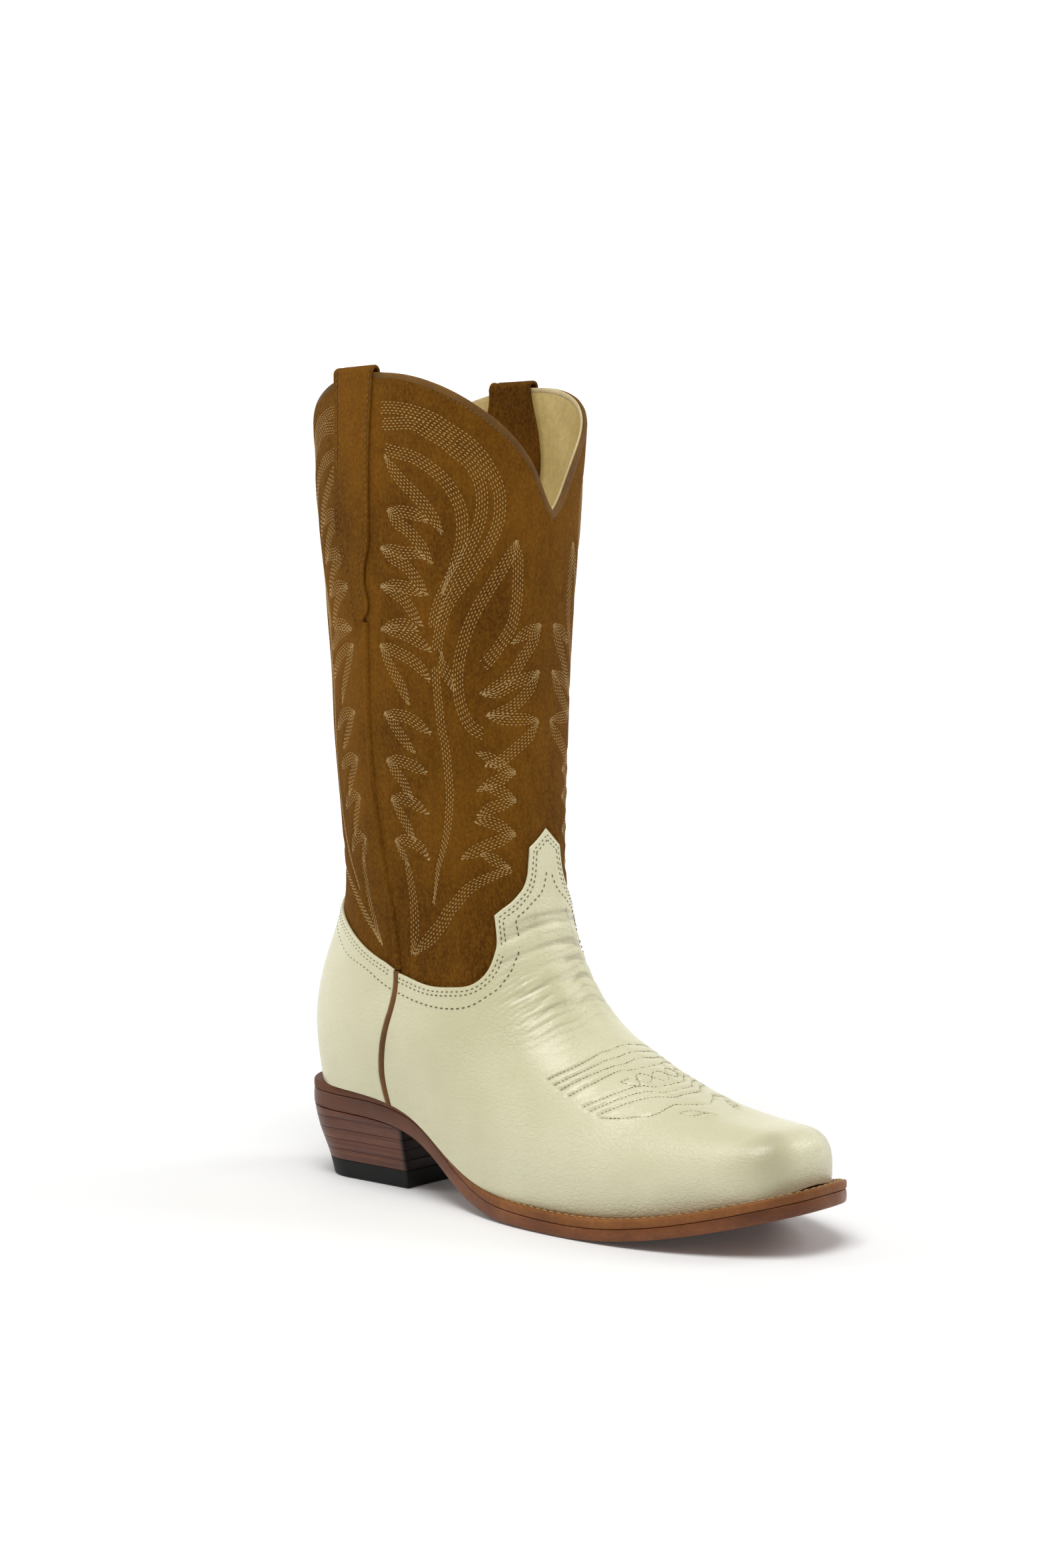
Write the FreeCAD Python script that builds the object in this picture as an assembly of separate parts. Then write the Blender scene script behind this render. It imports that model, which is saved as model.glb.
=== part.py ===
import FreeCAD, Part
import math
import os

# A right western boot, millimetres, +X to the toe, +Z up, the wearer's outer side on -Y.
# The leather pieces lie on one smooth body surface. A point of it has two coordinates:
#   s  runs round the boot: 0 at the back seam line, SEAM at the outer side seam, 1 at the middle of
#      the front, 2 - SEAM at the inner side seam. Negative s is the inner side of the back.
#   v  runs up: 0 at the feather line (where the upper meets the sole), 0.5 at the ankle, 1 at HEIGHT.
# Each piece is a patch of (s, v) between two distances from the surface, so layers never cross.

HEIGHT = 345.0          # top of the body surface; the scalloped leather stays a little under it
ANKLE_Z = 138.0
WALL_V = 0.10           # the upright wall above the feather line ends here
ANKLE_V = 0.50
SEAM = 0.28
WALL_HEIGHT = 14.0

HEEL_BACK_X = 12.0      # back of the upper at the seat
HEEL_ROUND = 26.0
TOE_X = 260.0           # front of the upper
TOE_ROUND = 13.0
BLEND = 22.0            # softness of the join between foot and shaft

# leather thicknesses
SUEDE = 1.5
CALF = 1.3
LINING = 0.9
GAP = 0.06
WELT = 3.5
RIB = 2.0
INSOLE = 2.9
SOCK = 0.9
SHANK_THICK = 1.2
CAP = 7.5
LIFT = 4.6
FULL_LIFTS = 4
TUCK = 0.05             # how far, in v, the shaft panels run down under the vamp and counter

# sole outline in plan
SOLE_BACK_X = 9.0
SOLE_TIP_X = 269.0
SEAT_X = 30.0           # the round heel seat lies behind this
NOSE_X = 259.0          # the blunt toe lies in front of this
BREAST_X = 74.0
WELT_START_X = 106.0


class Curve:
    """Natural cubic spline y(x) through a few points, level outside them."""

    def __init__(self, points):
        self.x = [float(p[0]) for p in points]
        self.y = [float(p[1]) for p in points]
        n = len(points)
        step = [self.x[i + 1] - self.x[i] for i in range(n - 1)]
        slope = [(self.y[i + 1] - self.y[i]) / step[i] for i in range(n - 1)]
        upper = [0.0] * n
        bend = [0.0] * n
        for i in range(1, n - 1):
            pivot = 2.0 * (step[i - 1] + step[i]) - step[i - 1] * upper[i - 1]
            upper[i] = step[i] / pivot
            bend[i] = (6.0 * (slope[i] - slope[i - 1]) - step[i - 1] * bend[i - 1]) / pivot
        for i in range(n - 2, 0, -1):
            bend[i] -= upper[i] * bend[i + 1]
        self.bend = bend
        self.step = step

    def __call__(self, t):
        t = min(max(t, self.x[0]), self.x[-1])
        i = 0
        while i < len(self.step) - 1 and t > self.x[i + 1]:
            i += 1
        h = self.step[i]
        a = (self.x[i + 1] - t) / h
        b = 1.0 - a
        line = a * self.y[i] + b * self.y[i + 1]
        return line + ((a ** 3 - a) * self.bend[i] + (b ** 3 - b) * self.bend[i + 1]) * h * h / 6.0


# side view: the feather line, the ridge of the foot, and the shaft's back and front
feather = Curve([(0, 43), (35, 40), (68, 38), (88, 32), (108, 20.5), (130, 11.6), (155, 9.1),
                 (190, 9.2), (220, 13.5), (245, 19.5), (271, 27)])
ridge = Curve([(0, 99), (40, 108), (80, 112), (110, 106), (135, 90), (160, 72.5), (182, 59.5),
               (205, 50), (225, 46), (245, 44.5), (272, 44)])
shaft_back_x = Curve([(60, 22), (90, 24), (110, 26), (135, 26.3), (160, 24.8), (200, 22),
                      (250, 18.5), (300, 14.5), (340, 14)])
shaft_front_x = Curve([(60, 136), (90, 132), (105, 129.5), (120, 128), (140, 127), (160, 126.5),
                       (200, 127), (250, 129), (300, 132.5), (340, 135.5)])
# half widths and how square the foot's sections are
width_outer = Curve([(0, 24), (25, 29.5), (50, 33), (80, 36), (105, 39.5), (130, 43.5), (155, 46),
                     (182, 44.5), (205, 40.5), (225, 34), (245, 26), (263, 18.5)])
width_inner = Curve([(0, 24), (25, 29.5), (50, 32.5), (80, 33), (105, 33), (130, 36.5), (155, 42),
                     (182, 44.5), (205, 41.5), (225, 35), (245, 26.5), (263, 18.5)])
shaft_half_y = Curve([(60, 33), (90, 34), (115, 36), (135, 38), (160, 40.5), (200, 43.5),
                      (250, 46.5), (300, 49.5), (340, 50.5)])
side_power = Curve([(0, 2.2), (100, 2.0), (150, 1.9), (200, 2.1), (240, 2.5), (272, 2.8)])
top_power = Curve([(0, 2.3), (60, 2.2), (110, 1.9), (150, 1.75), (200, 2.1), (240, 2.7), (272, 2.9)])
# where the side seam runs, as a share of the way from back to front
seam_line = Curve([(0, 0.287), (0.1, 0.283), (0.19, 0.297), (0.285, 0.318), (0.36, 0.298),
                   (0.5, 0.256), (0.75, 0.26), (1, 0.268)])
# upper edges of the pieces, v against s
EAR = 0.699             # the vamp's edge has a corner at each ear and at each shoulder of its tongue
SHOULDER = 0.92
vamp_side = Curve([(0.28, 0.301), (0.35, 0.305), (0.40, 0.313), (0.45, 0.322), (0.50, 0.329),
                   (0.55, 0.3425), (0.60, 0.363), (0.63, 0.378), (0.65, 0.388), (0.672, 0.404),
                   (EAR, 0.4316)])
vamp_throat = Curve([(EAR, 0.4316), (0.75, 0.440), (0.80, 0.4475), (0.85, 0.459), (0.876, 0.4685),
                     (0.894, 0.481), (0.9075, 0.497), (SHOULDER, 0.5205)])
vamp_tip = Curve([(SHOULDER, 0.5205), (0.95, 0.5265), (1.0, 0.538)])
counter_edge = Curve([(0, 0.432), (0.045, 0.423), (0.094, 0.399), (0.144, 0.370), (0.196, 0.335),
                      (0.232, 0.317), (0.28, 0.303)])
# the scallop: v against the distance from the middle of the front or back
scallop = Curve([(0, 0.850), (4, 0.861), (10, 0.886), (15, 0.904), (23, 0.925), (35, 0.948),
                 (43, 0.960), (56, 0.974), (69, 0.982), (91, 0.986)])
FRONT_RUN = 126.0       # mm per unit of s at the top, front and back
BACK_RUN = 296.0
# outsole half widths in plan, and the sole's whole thickness along the boot
sole_outer = Curve([(30, 30), (60, 30.5), (85, 32.5), (110, 38), (135, 45), (160, 48.5),
                    (186, 48.5), (210, 45.5), (232, 39), (250, 30), (259, 24)])
sole_inner = Curve([(30, 30), (60, 30.5), (85, 31), (110, 33), (135, 38.5), (160, 44.5), (186, 48),
                    (210, 46), (232, 39), (250, 28.5), (259, 22.5)])
sole_depth = Curve([(0, 10.6), (90, 10.6), (120, 9.8), (150, 9.0), (271, 9.0)])


# ---------------------------------------------------------------- the body surface
def smooth(t):
    t = min(max(t, 0.0), 1.0)
    return t * t * (3.0 - 2.0 * t)


def foot_field(x, y, z):
    """Negative inside the foot: rounded sections between the feather line and the ridge."""
    low = feather(x)
    t = (z - low) / (ridge(x) - low)
    waist = 0.3
    up = max((t - waist) / (1.0 - waist), 0.0)
    down = max((waist - t) / waist, 0.0)
    toe = max((x - (TOE_X - TOE_ROUND)) / TOE_ROUND, 0.0)
    heel = max((HEEL_ROUND + HEEL_BACK_X - x) / HEEL_ROUND, 0.0)
    half = width_outer(x) if y < 0 else width_inner(x)
    total = (abs(y) / half) ** side_power(x) + up ** top_power(x) + 0.09 * down ** 2
    total += toe ** 2.6 + heel ** 2.2
    return (total ** (1.0 / 2.2) - 1.0) * 30.0


def shaft_field(x, y, z):
    """Negative inside the shaft: level oval rings."""
    back = shaft_back_x(z)
    front = shaft_front_x(z)
    oval = 2.15
    r = (abs(2 * x - back - front) / (front - back)) ** oval + (abs(y) / shaft_half_y(z)) ** oval
    below = max((75.0 - z) / 60.0, 0.0)
    return (r ** (1.0 / oval) - 1.0) * 40.0 + 40.0 * below ** 2


def body_field(x, y, z):
    a = foot_field(x, y, z)
    b = shaft_field(x, y, z)
    h = min(max(0.5 + 0.5 * (b - a) / BLEND, 0.0), 1.0)
    return b * (1.0 - h) + a * h - BLEND * h * (1.0 - h)


def shift_to_seam(u, v):
    """Slides u so that the side seam is always at SEAM."""
    line = seam_line(v)
    if u <= SEAM:
        return u * line / SEAM
    return line + (u - SEAM) * (1.0 - line) / (1.0 - SEAM)


def ray(u, v):
    """A start point on the boot's middle plane and a direction out to the surface."""
    u = shift_to_seam(u, v)
    heel_end = 0.16
    toe_start = 0.90
    heel_x = 36.0
    toe_x = 241.0
    quarter = math.pi / 2.0
    if u < heel_end:
        core_x = heel_x
        low_angle = 2.0 * quarter - quarter * u / heel_end
    elif u > toe_start:
        core_x = toe_x
        low_angle = quarter * (1.0 - (u - toe_start) / (1.0 - toe_start))
    else:
        core_x = heel_x + (toe_x - heel_x) * (u - heel_end) / (toe_start - heel_end)
        low_angle = quarter
    if u < SEAM:
        high_angle = 2.0 * quarter - quarter * u / SEAM
    else:
        high_angle = quarter * (1.0 - (u - SEAM) / (1.0 - SEAM))
    front = smooth((u - SEAM) / (1.0 - SEAM))
    floor_z = feather(core_x + 22.0 * math.cos(low_angle))
    wall = min(max(v / WALL_V, 0.0), 1.0)
    rise = min(max((v - WALL_V) / (ANKLE_V - WALL_V), 0.0), 1.0)
    lift = WALL_HEIGHT * (1.0 - 0.35 * front)
    ankle_x = 0.5 * (shaft_back_x(ANKLE_Z) + shaft_front_x(ANKLE_Z))
    if v > ANKLE_V:
        z = ANKLE_Z + (HEIGHT - ANKLE_Z) * (v - ANKLE_V) / (1.0 - ANKLE_V)
        x = 0.5 * (shaft_back_x(z) + shaft_front_x(z))
    else:
        start_z = floor_z + lift * wall
        bend_x = (1.0 - front) * 0.5 * (core_x + ankle_x) + front * 120.0
        bend_z = (1.0 - front) * 0.5 * (start_z + ANKLE_Z) + front * 40.0
        a = (1.0 - rise) ** 2
        b = 2.0 * rise * (1.0 - rise)
        c = rise ** 2
        x = a * core_x + b * bend_x + c * ankle_x
        z = a * start_z + b * bend_z + c * ANKLE_Z
    turn = smooth(rise)
    dx = math.cos(low_angle) * (1.0 - turn) + math.cos(high_angle) * turn
    dy = math.sin(low_angle) * (1.0 - turn) + math.sin(high_angle) * turn
    size = math.hypot(dx, dy) + 1e-9
    tilt = math.radians(62.0) * front * smooth(wall) * (1.0 - rise ** 2.2)
    return (x, z), (dx / size * math.cos(tilt), dy / size * math.cos(tilt), math.sin(tilt))


known = {}


def body_point(s, v):
    """Point and outward normal of the body surface at (s, v)."""
    key = (round(s, 6), round(v, 6))
    if key in known:
        return known[key]
    u = abs(s) if s <= 1.0 else 2.0 - s
    side = -1.0 if 0.0 <= s <= 1.0 else 1.0
    (x0, z0), (dx, dy, dz) = ray(u, v)
    near = 0.0
    far = 136.0
    for _ in range(24):
        mid = 0.5 * (near + far)
        if body_field(x0 + dx * mid, side * dy * mid, z0 + dz * mid) < 0.0:
            near = mid
        else:
            far = mid
    x, y, z = x0 + dx * near, side * dy * near, z0 + dz * near
    h = 0.02
    normal = FreeCAD.Vector(body_field(x + h, y, z) - body_field(x - h, y, z),
                            body_field(x, y + h, z) - body_field(x, y - h, z),
                            body_field(x, y, z + h) - body_field(x, y, z - h))
    if u in (0.0, 1.0):
        normal.y = 0.0
    normal.normalize()
    known[key] = (FreeCAD.Vector(x, y, z), normal)
    return known[key]


def offset_point(s, v, d):
    point, normal = body_point(s, v)
    return point + normal * d


# ---------------------------------------------------------------- solids from grids
DEGREE = 3


def knot_list(count):
    """Knots of a cubic through count evenly spaced points, with no knot next to either end."""
    inner = [float(i) for i in range(2, count - 2)]
    return [0.0] + inner + [count - 1.0], [DEGREE + 1] + [1] * len(inner) + [DEGREE + 1]


def basis(i, degree, t, knots):
    """Value of one B-spline basis function."""
    if degree == 0:
        last = knots[i + 1] == knots[-1] and t == knots[-1] and knots[i] < knots[i + 1]
        return 1.0 if knots[i] <= t < knots[i + 1] or last else 0.0
    value = 0.0
    if knots[i + degree] > knots[i]:
        value += (t - knots[i]) / (knots[i + degree] - knots[i]) * basis(i, degree - 1, t, knots)
    if knots[i + degree + 1] > knots[i + 1]:
        ramp = (knots[i + degree + 1] - t) / (knots[i + degree + 1] - knots[i + 1])
        value += ramp * basis(i + 1, degree - 1, t, knots)
    return value


weights_for = {}


def pole_weights(count):
    """Matrix that turns count points on a curve into its poles (found by elimination)."""
    if count in weights_for:
        return weights_for[count]
    knots, mults = knot_list(count)
    full = [k for k, m in zip(knots, mults) for _ in range(m)]
    rows = []
    for i in range(count):
        left = [basis(j, DEGREE, float(i), full) for j in range(count)]
        rows.append(left + [1.0 if j == i else 0.0 for j in range(count)])
    for i in range(count):
        pivot = rows[i][i]
        rows[i] = [x / pivot for x in rows[i]]
        for k in range(count):
            factor = rows[k][i]
            if k != i and factor:
                rows[k] = [x - factor * y for x, y in zip(rows[k], rows[i])]
    weights_for[count] = [row[count:] for row in rows]
    return weights_for[count]


def poles_of(points):
    poles = []
    for weights in pole_weights(len(points)):
        total = FreeCAD.Vector(0, 0, 0)
        for w, p in zip(weights, points):
            if abs(w) > 1e-9:
                total += p * w
        poles.append(total)
    return poles


def turned(grid):
    return [list(row) for row in zip(*grid)]


class GridFace:
    """A smooth surface through a grid of points; its four edges depend only on its edge points."""

    def __init__(self, rows):
        along = [poles_of(row) for row in rows]
        self.poles = turned([poles_of(row) for row in turned(along)])

    def shape(self):
        row_knots, row_mults = knot_list(len(self.poles))
        knots, mults = knot_list(len(self.poles[0]))
        surface = Part.BSplineSurface()
        surface.buildFromPolesMultsKnots(self.poles, row_mults, mults, row_knots, knots,
                                         False, False, DEGREE, DEGREE)
        return surface.toShape()

    def edge(self, side):
        if side == "first":
            return self.poles[0]
        if side == "last":
            return self.poles[-1]
        return [row[0 if side == "low" else -1] for row in self.poles]


def close_shell(faces):
    shell = Part.makeShell(faces)
    shell.sewShape(0.005)
    solid = Part.makeSolid(shell)
    if solid.Volume < 0:
        solid.reverse()
    return solid


def rim(face_a, face_b, side):
    """The straight strip that joins one side of two grid faces."""
    a = face_a.edge(side)
    knots, mults = knot_list(len(a))
    surface = Part.BSplineSurface()
    surface.buildFromPolesMultsKnots([a, face_b.edge(side)], [2, 2], mults, [0.0, 1.0], knots,
                                     False, False, 1, DEGREE)
    return surface.toShape()


def slab_between(spans):
    """One solid from spans side by side; each is (outer rows, inner rows)."""
    faces = []
    for i, (outer_rows, inner_rows) in enumerate(spans):
        outer = GridFace(outer_rows)
        inner = GridFace(inner_rows)
        faces += [outer.shape(), inner.shape()]
        faces += [rim(outer, inner, "low"), rim(outer, inner, "high")]
        if i == 0:
            faces.append(rim(outer, inner, "first"))
        if i == len(spans) - 1:
            faces.append(rim(outer, inner, "last"))
    return close_shell(faces)


def spread(a, b, count):
    return [a + (b - a) * i / (count - 1.0) for i in range(count)]


def leather(breaks, low, high, outside, inside, across=0.02, up=14):
    """A patch between the edges low(s) and high(s), from inside to outside the surface."""
    spans = []
    for start, end in zip(breaks, breaks[1:]):
        count = max(6, int(round((end - start) / across)) + 1)
        outer_rows = []
        inner_rows = []
        for s in spread(start, end, count):
            heights = spread(low(s), high(s), up)
            outer_rows.append([offset_point(s, v, outside) for v in heights])
            inner_rows.append([offset_point(s, v, inside) for v in heights])
        spans.append((outer_rows, inner_rows))
    return slab_between(spans)


# ---------------------------------------------------------------- edges of the upper's pieces
def fold(s):
    return abs(s) if s <= 1.0 else 2.0 - s


def vamp_edge(u):
    if u < EAR:
        return vamp_side(u)
    return vamp_throat(u) if u < SHOULDER else vamp_tip(u)


def cover_top(s):
    """Upper edge of the vamp in front of the side seams, of the counter behind them."""
    u = fold(s)
    return vamp_edge(u) if u > SEAM else counter_edge(u)


def shaft_top(s):
    u = fold(s)
    from_middle = (1.0 - u) * FRONT_RUN if u > SEAM else u * BACK_RUN
    return scallop(from_middle)


def foot_low(s):
    return 0.0


def cover_tuck(s):
    return cover_top(s) - TUCK


def lining_low(s):
    return cover_tuck(s) - 0.003


BEAD = 0.006            # height of the edge binding, in v
GROOVE = 0.006          # half of the piping's width, in s
BACK = [-SEAM, -0.14, 0.0, 0.14, SEAM]
FRONT = [SEAM, EAR, SHOULDER, 1.0, 2.0 - SHOULDER, 2.0 - EAR, 2.0 - SEAM]
HAIR = 0.0006           # the joint left between neighbouring panels, in s
PIPING_TOP = 0.735      # v where the piping ends under the strap's tail
PROUD = 0.5             # how far bindings and piping stand out from the leather beside them
TOE_LAYER = 1.1         # room between the vamp and its lining for the toe puff
PUFF = 0.8


def inset(breaks, by):
    return [breaks[0] + by] + breaks[1:-1] + [breaks[-1] - by]


def under_bead(s):
    return shaft_top(s) - BEAD


def bead_low(s):
    return under_bead(s) + 0.0004


def foot_lining_top(s):
    return cover_tuck(s) - 0.006


def shaft_panel(breaks):
    return leather(inset(breaks, HAIR), cover_tuck, under_bead, 0.0, -SUEDE, 0.03, 24)


def shaft_lining(breaks):
    depth = -SUEDE - GAP
    return leather(inset(breaks, HAIR), lining_low, under_bead, depth, depth - LINING, 0.03, 24)


def top_binding(breaks):
    return leather(inset(breaks, HAIR), bead_low, shaft_top, PROUD, -SUEDE - GAP - LINING - 0.3, 0.02, 6)


def vamp():
    return leather(inset(FRONT, GROOVE), foot_low, cover_top, GAP + CALF, GAP, 0.0125, 24)


def counter_cover():
    return leather(inset(BACK, GROOVE), foot_low, cover_top, GAP + CALF, GAP, 0.02, 14)


def vamp_lining():
    depth = -TOE_LAYER
    return leather(inset(FRONT, HAIR), foot_low, foot_lining_top, depth, depth - LINING, 0.0125, 24)


def heel_lining():
    depth = -SUEDE - GAP
    return leather(inset(BACK, HAIR), foot_low, foot_lining_top, depth, depth - LINING, 0.02, 12)


def counter_stiffener():
    span = 0.26

    def edge(s):
        return 0.27 - 0.10 * (s / span) ** 2

    return leather([-span, 0.0, span], foot_low, edge, -GAP, -SUEDE, 0.02, 10)


def toe_puff():
    reach = 0.14
    depth = -0.15

    def edge(s):
        return 0.21 - 0.08 * ((s - 1.0) / reach) ** 2

    return leather([1.0 - reach, 1.0, 1.0 + reach], foot_low, edge, depth, depth - PUFF, 0.01, 12)


def side_piping(seam):
    """A thin welt of leather let into the side seam, standing a little proud up to the strap's tail."""
    breaks = [seam - GROOVE + HAIR, seam + GROOVE - HAIR]

    def joint(s):
        return cover_top(SEAM)

    def piping_top(s):
        return PIPING_TOP

    foot_part = leather(breaks, foot_low, joint, GAP + CALF + PROUD, GAP, GROOVE, 12)
    shaft_part = leather(breaks, joint, piping_top, 1.2, GAP, GROOVE, 18)
    return foot_part.fuse(shaft_part)


strap_middle = Curve([(0.744, 0.272), (0.79, 0.2625), (0.90, 0.2665), (1.0, 0.276)])
strap_half = Curve([(0.744, 0.006), (0.751, 0.018), (0.77, 0.0215), (0.79, 0.022), (0.805, 0.029),
                    (0.825, 0.040), (0.84, 0.043), (0.90, 0.0445), (0.96, 0.050), (1.0, 0.056)])
strap_inner_half = Curve([(0.855, 0.024), (0.862, 0.052), (0.875, 0.074), (0.90, 0.089), (0.925, 0.088),
                          (0.95, 0.074), (0.97, 0.058), (1.0, 0.050)])
strap_inner_lean = Curve([(0.855, 0.05), (0.90, 0.045), (0.95, 0.020), (0.985, 0.0)])
STRAP_LOW = 0.744       # v of the pointed tail outside
STRAP_INNER_LOW = 0.855  # v of the round end inside
STRAP = 1.5


def strap_path():
    """(v, distance from the surface) up the outside, over the edge and down the inside."""
    per_mm = (1.0 - ANKLE_V) / (HEIGHT - ANKLE_Z)
    outside = GAP + 0.08 + STRAP / 2.0
    inside = -SUEDE - 2 * GAP - LINING - 0.35 - STRAP / 2.0
    arc_r = 0.5 * (outside - inside)
    arc_v = scallop(83.0) + 0.4 * per_mm
    path = [(v, outside) for v in spread(STRAP_LOW, arc_v, 30)]
    for i in range(1, 8):
        angle = math.pi * i / 8.0
        path.append((arc_v + arc_r * math.sin(angle) * per_mm,
                     inside + arc_r + arc_r * math.cos(angle)))
    path += [(v, inside) for v in spread(arc_v, STRAP_INNER_LOW, 14)]
    return path, per_mm


def pull_strap(side):
    """A flat loop of leather over the top edge, with a pointed tail on the outside."""
    path, per_mm = strap_path()
    outer_rows = []
    inner_rows = []
    for i, (v, d) in enumerate(path):
        before = path[max(i - 1, 0)]
        after = path[min(i + 1, len(path) - 1)]
        along_v = (after[0] - before[0]) / per_mm
        along_d = after[1] - before[1]
        size = math.hypot(along_v, along_d)
        out_v = -along_d / size * per_mm
        out_d = along_v / size
        half = strap_half(v) if d > 0 else strap_inner_half(v)
        middle = strap_middle(v) if d > 0 else strap_middle(v) + strap_inner_lean(v)
        outer_row = []
        inner_row = []
        for across in spread(-1.0, 1.0, 7):
            u = middle + half * across
            s = u if side < 0 else -u
            outer_row.append(offset_point(s, v + out_v * STRAP / 2, d + out_d * STRAP / 2))
            inner_row.append(offset_point(s, v - out_v * STRAP / 2, d - out_d * STRAP / 2))
        outer_rows.append(outer_row)
        inner_rows.append(inner_row)
    return slab_between([(outer_rows, inner_rows)])


# ---------------------------------------------------------------- the sole
def closed_outline(points):
    curve = Part.BSplineCurve()
    curve.interpolate([FreeCAD.Vector(x, y, 0) for x, y in points], PeriodicFlag=True)
    return Part.Wire([curve.toShape()])


def sole_outline():
    """Plan outline of the sole: two long sides, a blunt toe and a round heel seat."""
    points = []
    for x in spread(SEAT_X, NOSE_X, 18):
        points.append((x, -sole_outer(x)))
    nose_reach = SOLE_TIP_X - NOSE_X
    nose_out = sole_outer(NOSE_X)
    nose_in = sole_inner(NOSE_X)
    points += [(NOSE_X + 0.62 * nose_reach, -0.72 * nose_out), (NOSE_X + 0.93 * nose_reach, -0.37 * nose_out)]
    points.append((SOLE_TIP_X, 0.0))
    points += [(NOSE_X + 0.93 * nose_reach, 0.37 * nose_in), (NOSE_X + 0.62 * nose_reach, 0.72 * nose_in)]
    for x in spread(NOSE_X, SEAT_X, 18):
        points.append((x, sole_inner(x)))
    for angle in (112.5, 135, 157.5, 180, 202.5, 225, 247.5):
        a = math.radians(angle)
        round_off = 0.9
        x = SEAT_X - (SEAT_X - SOLE_BACK_X) * abs(math.cos(a)) ** round_off
        y = math.copysign(sole_outer(SEAT_X) * abs(math.sin(a)) ** round_off, math.sin(a))
        points.append((x, y))
    return closed_outline(points)


def foot_outline(depth):
    """Plan outline of the upper at the feather line, drawn in by depth."""
    points = []
    for i in range(56):
        p = offset_point(-0.98 + 2.0 * i / 56.0 if i < 28 else 2.0 * i / 56.0 - 0.98, 0.0, -depth)
        points.append((p.x, p.y))
    return closed_outline(points)


def prism(wire):
    face = Part.Face(wire)
    solid = face.extrude(FreeCAD.Vector(0, 0, 90))
    solid.translate(FreeCAD.Vector(0, 0, -15))
    return solid


def bent_slab(under, over, x0=-10.0, x1=285.0, half=70.0):
    """The space between two heights that follow the feather line, each a function of x."""
    xs = spread(x0, x1, 32)
    low = Part.BSplineCurve()
    low.interpolate([FreeCAD.Vector(x, -half, under(x)) for x in xs])
    high = Part.BSplineCurve()
    high.interpolate([FreeCAD.Vector(x, -half, over(x)) for x in xs])
    ends = [Part.makeLine(low.value(low.FirstParameter), high.value(high.FirstParameter)),
            Part.makeLine(low.value(low.LastParameter), high.value(high.LastParameter))]
    wire = Part.Wire(Part.sortEdges([low.toShape(), high.toShape()] + ends)[0])
    return Part.Face(wire).extrude(FreeCAD.Vector(0, 2 * half, 0))


def sole_top(x):
    return feather(x) - WELT - 2 * GAP


def sole_bottom(x):
    return feather(x) - sole_depth(x)


def above_feather(height):
    def level(x):
        return feather(x) + height

    return level


def peg_holes():
    """Two rows of round pegs up through the waist of the sole."""
    holes = []
    for i in range(9):
        x = 84.0 + 6.5 * i
        for side in (-1, 1):
            edge = sole_outer(x) if side < 0 else sole_inner(x)
            y = side * (edge - 9.0)
            holes.append(Part.makeCylinder(1.1, 90, FreeCAD.Vector(x, y, -15)))
    return Part.makeCompound(holes)


def whole_outsole():
    return prism(sole_outline()).common(bent_slab(sole_bottom, sole_top))


def outsole():
    return whole_outsole().cut(peg_holes())


def wooden_pegs():
    return whole_outsole().common(peg_holes())


def box_x(x0, x1):
    return Part.makeBox(x1 - x0, 140, 120, FreeCAD.Vector(x0, -70, -20))


def edge_strip(x0, x1, inner_depth):
    """A strip on top of the outsole's edge, under the upper's lower edge."""
    layer = bent_slab(above_feather(-WELT - GAP), above_feather(-GAP))
    ring = prism(sole_outline()).cut(prism(foot_outline(inner_depth)))
    return ring.common(layer).common(box_x(x0, x1))


def welt():
    return edge_strip(WELT_START_X, 300.0, 5.0)


def heel_rand():
    return edge_strip(-20.0, WELT_START_X - 0.2, 5.0)


def insole_rib():
    ring = prism(foot_outline(5.1)).cut(prism(foot_outline(5.1 + RIB)))
    layer = bent_slab(above_feather(-WELT - GAP), above_feather(-GAP))
    return ring.common(layer).common(box_x(WELT_START_X, 300.0))


def cork_filler():
    layer = bent_slab(above_feather(-WELT - GAP), above_feather(-GAP))
    return prism(foot_outline(5.2 + RIB)).common(layer).common(box_x(WELT_START_X + 34.0, 300.0))


def shank_slot(wide, thick):
    layer = bent_slab(above_feather(-WELT - GAP), above_feather(-WELT - GAP + thick))
    strip = Part.makeBox(WELT_START_X + 30.0 - 36.0, wide, 120, FreeCAD.Vector(36.0, -wide / 2, -20))
    return strip.common(layer)


def steel_shank():
    return shank_slot(14.0, SHANK_THICK)


def shank_cover():
    layer = bent_slab(above_feather(-WELT - GAP), above_feather(-GAP))
    body = prism(foot_outline(5.2 + RIB)).common(layer).common(box_x(-20.0, WELT_START_X + 33.8))
    return body.cut(shank_slot(14.4, SHANK_THICK + 0.15))


def insole():
    layer = bent_slab(above_feather(GAP), above_feather(INSOLE))
    return prism(foot_outline(2.8)).common(layer)


def sock_liner():
    layer = bent_slab(above_feather(INSOLE + GAP), above_feather(INSOLE + SOCK))
    return prism(foot_outline(3.4)).common(layer).common(box_x(-20.0, 252.0))


# ---------------------------------------------------------------- the heel
FLARE = 0.04            # how fast the stack widens at the breast, going up
ROUND_X = 38.0          # where the round back starts at the ground; it moves back going up
ROUND_LEAN = 0.24


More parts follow.
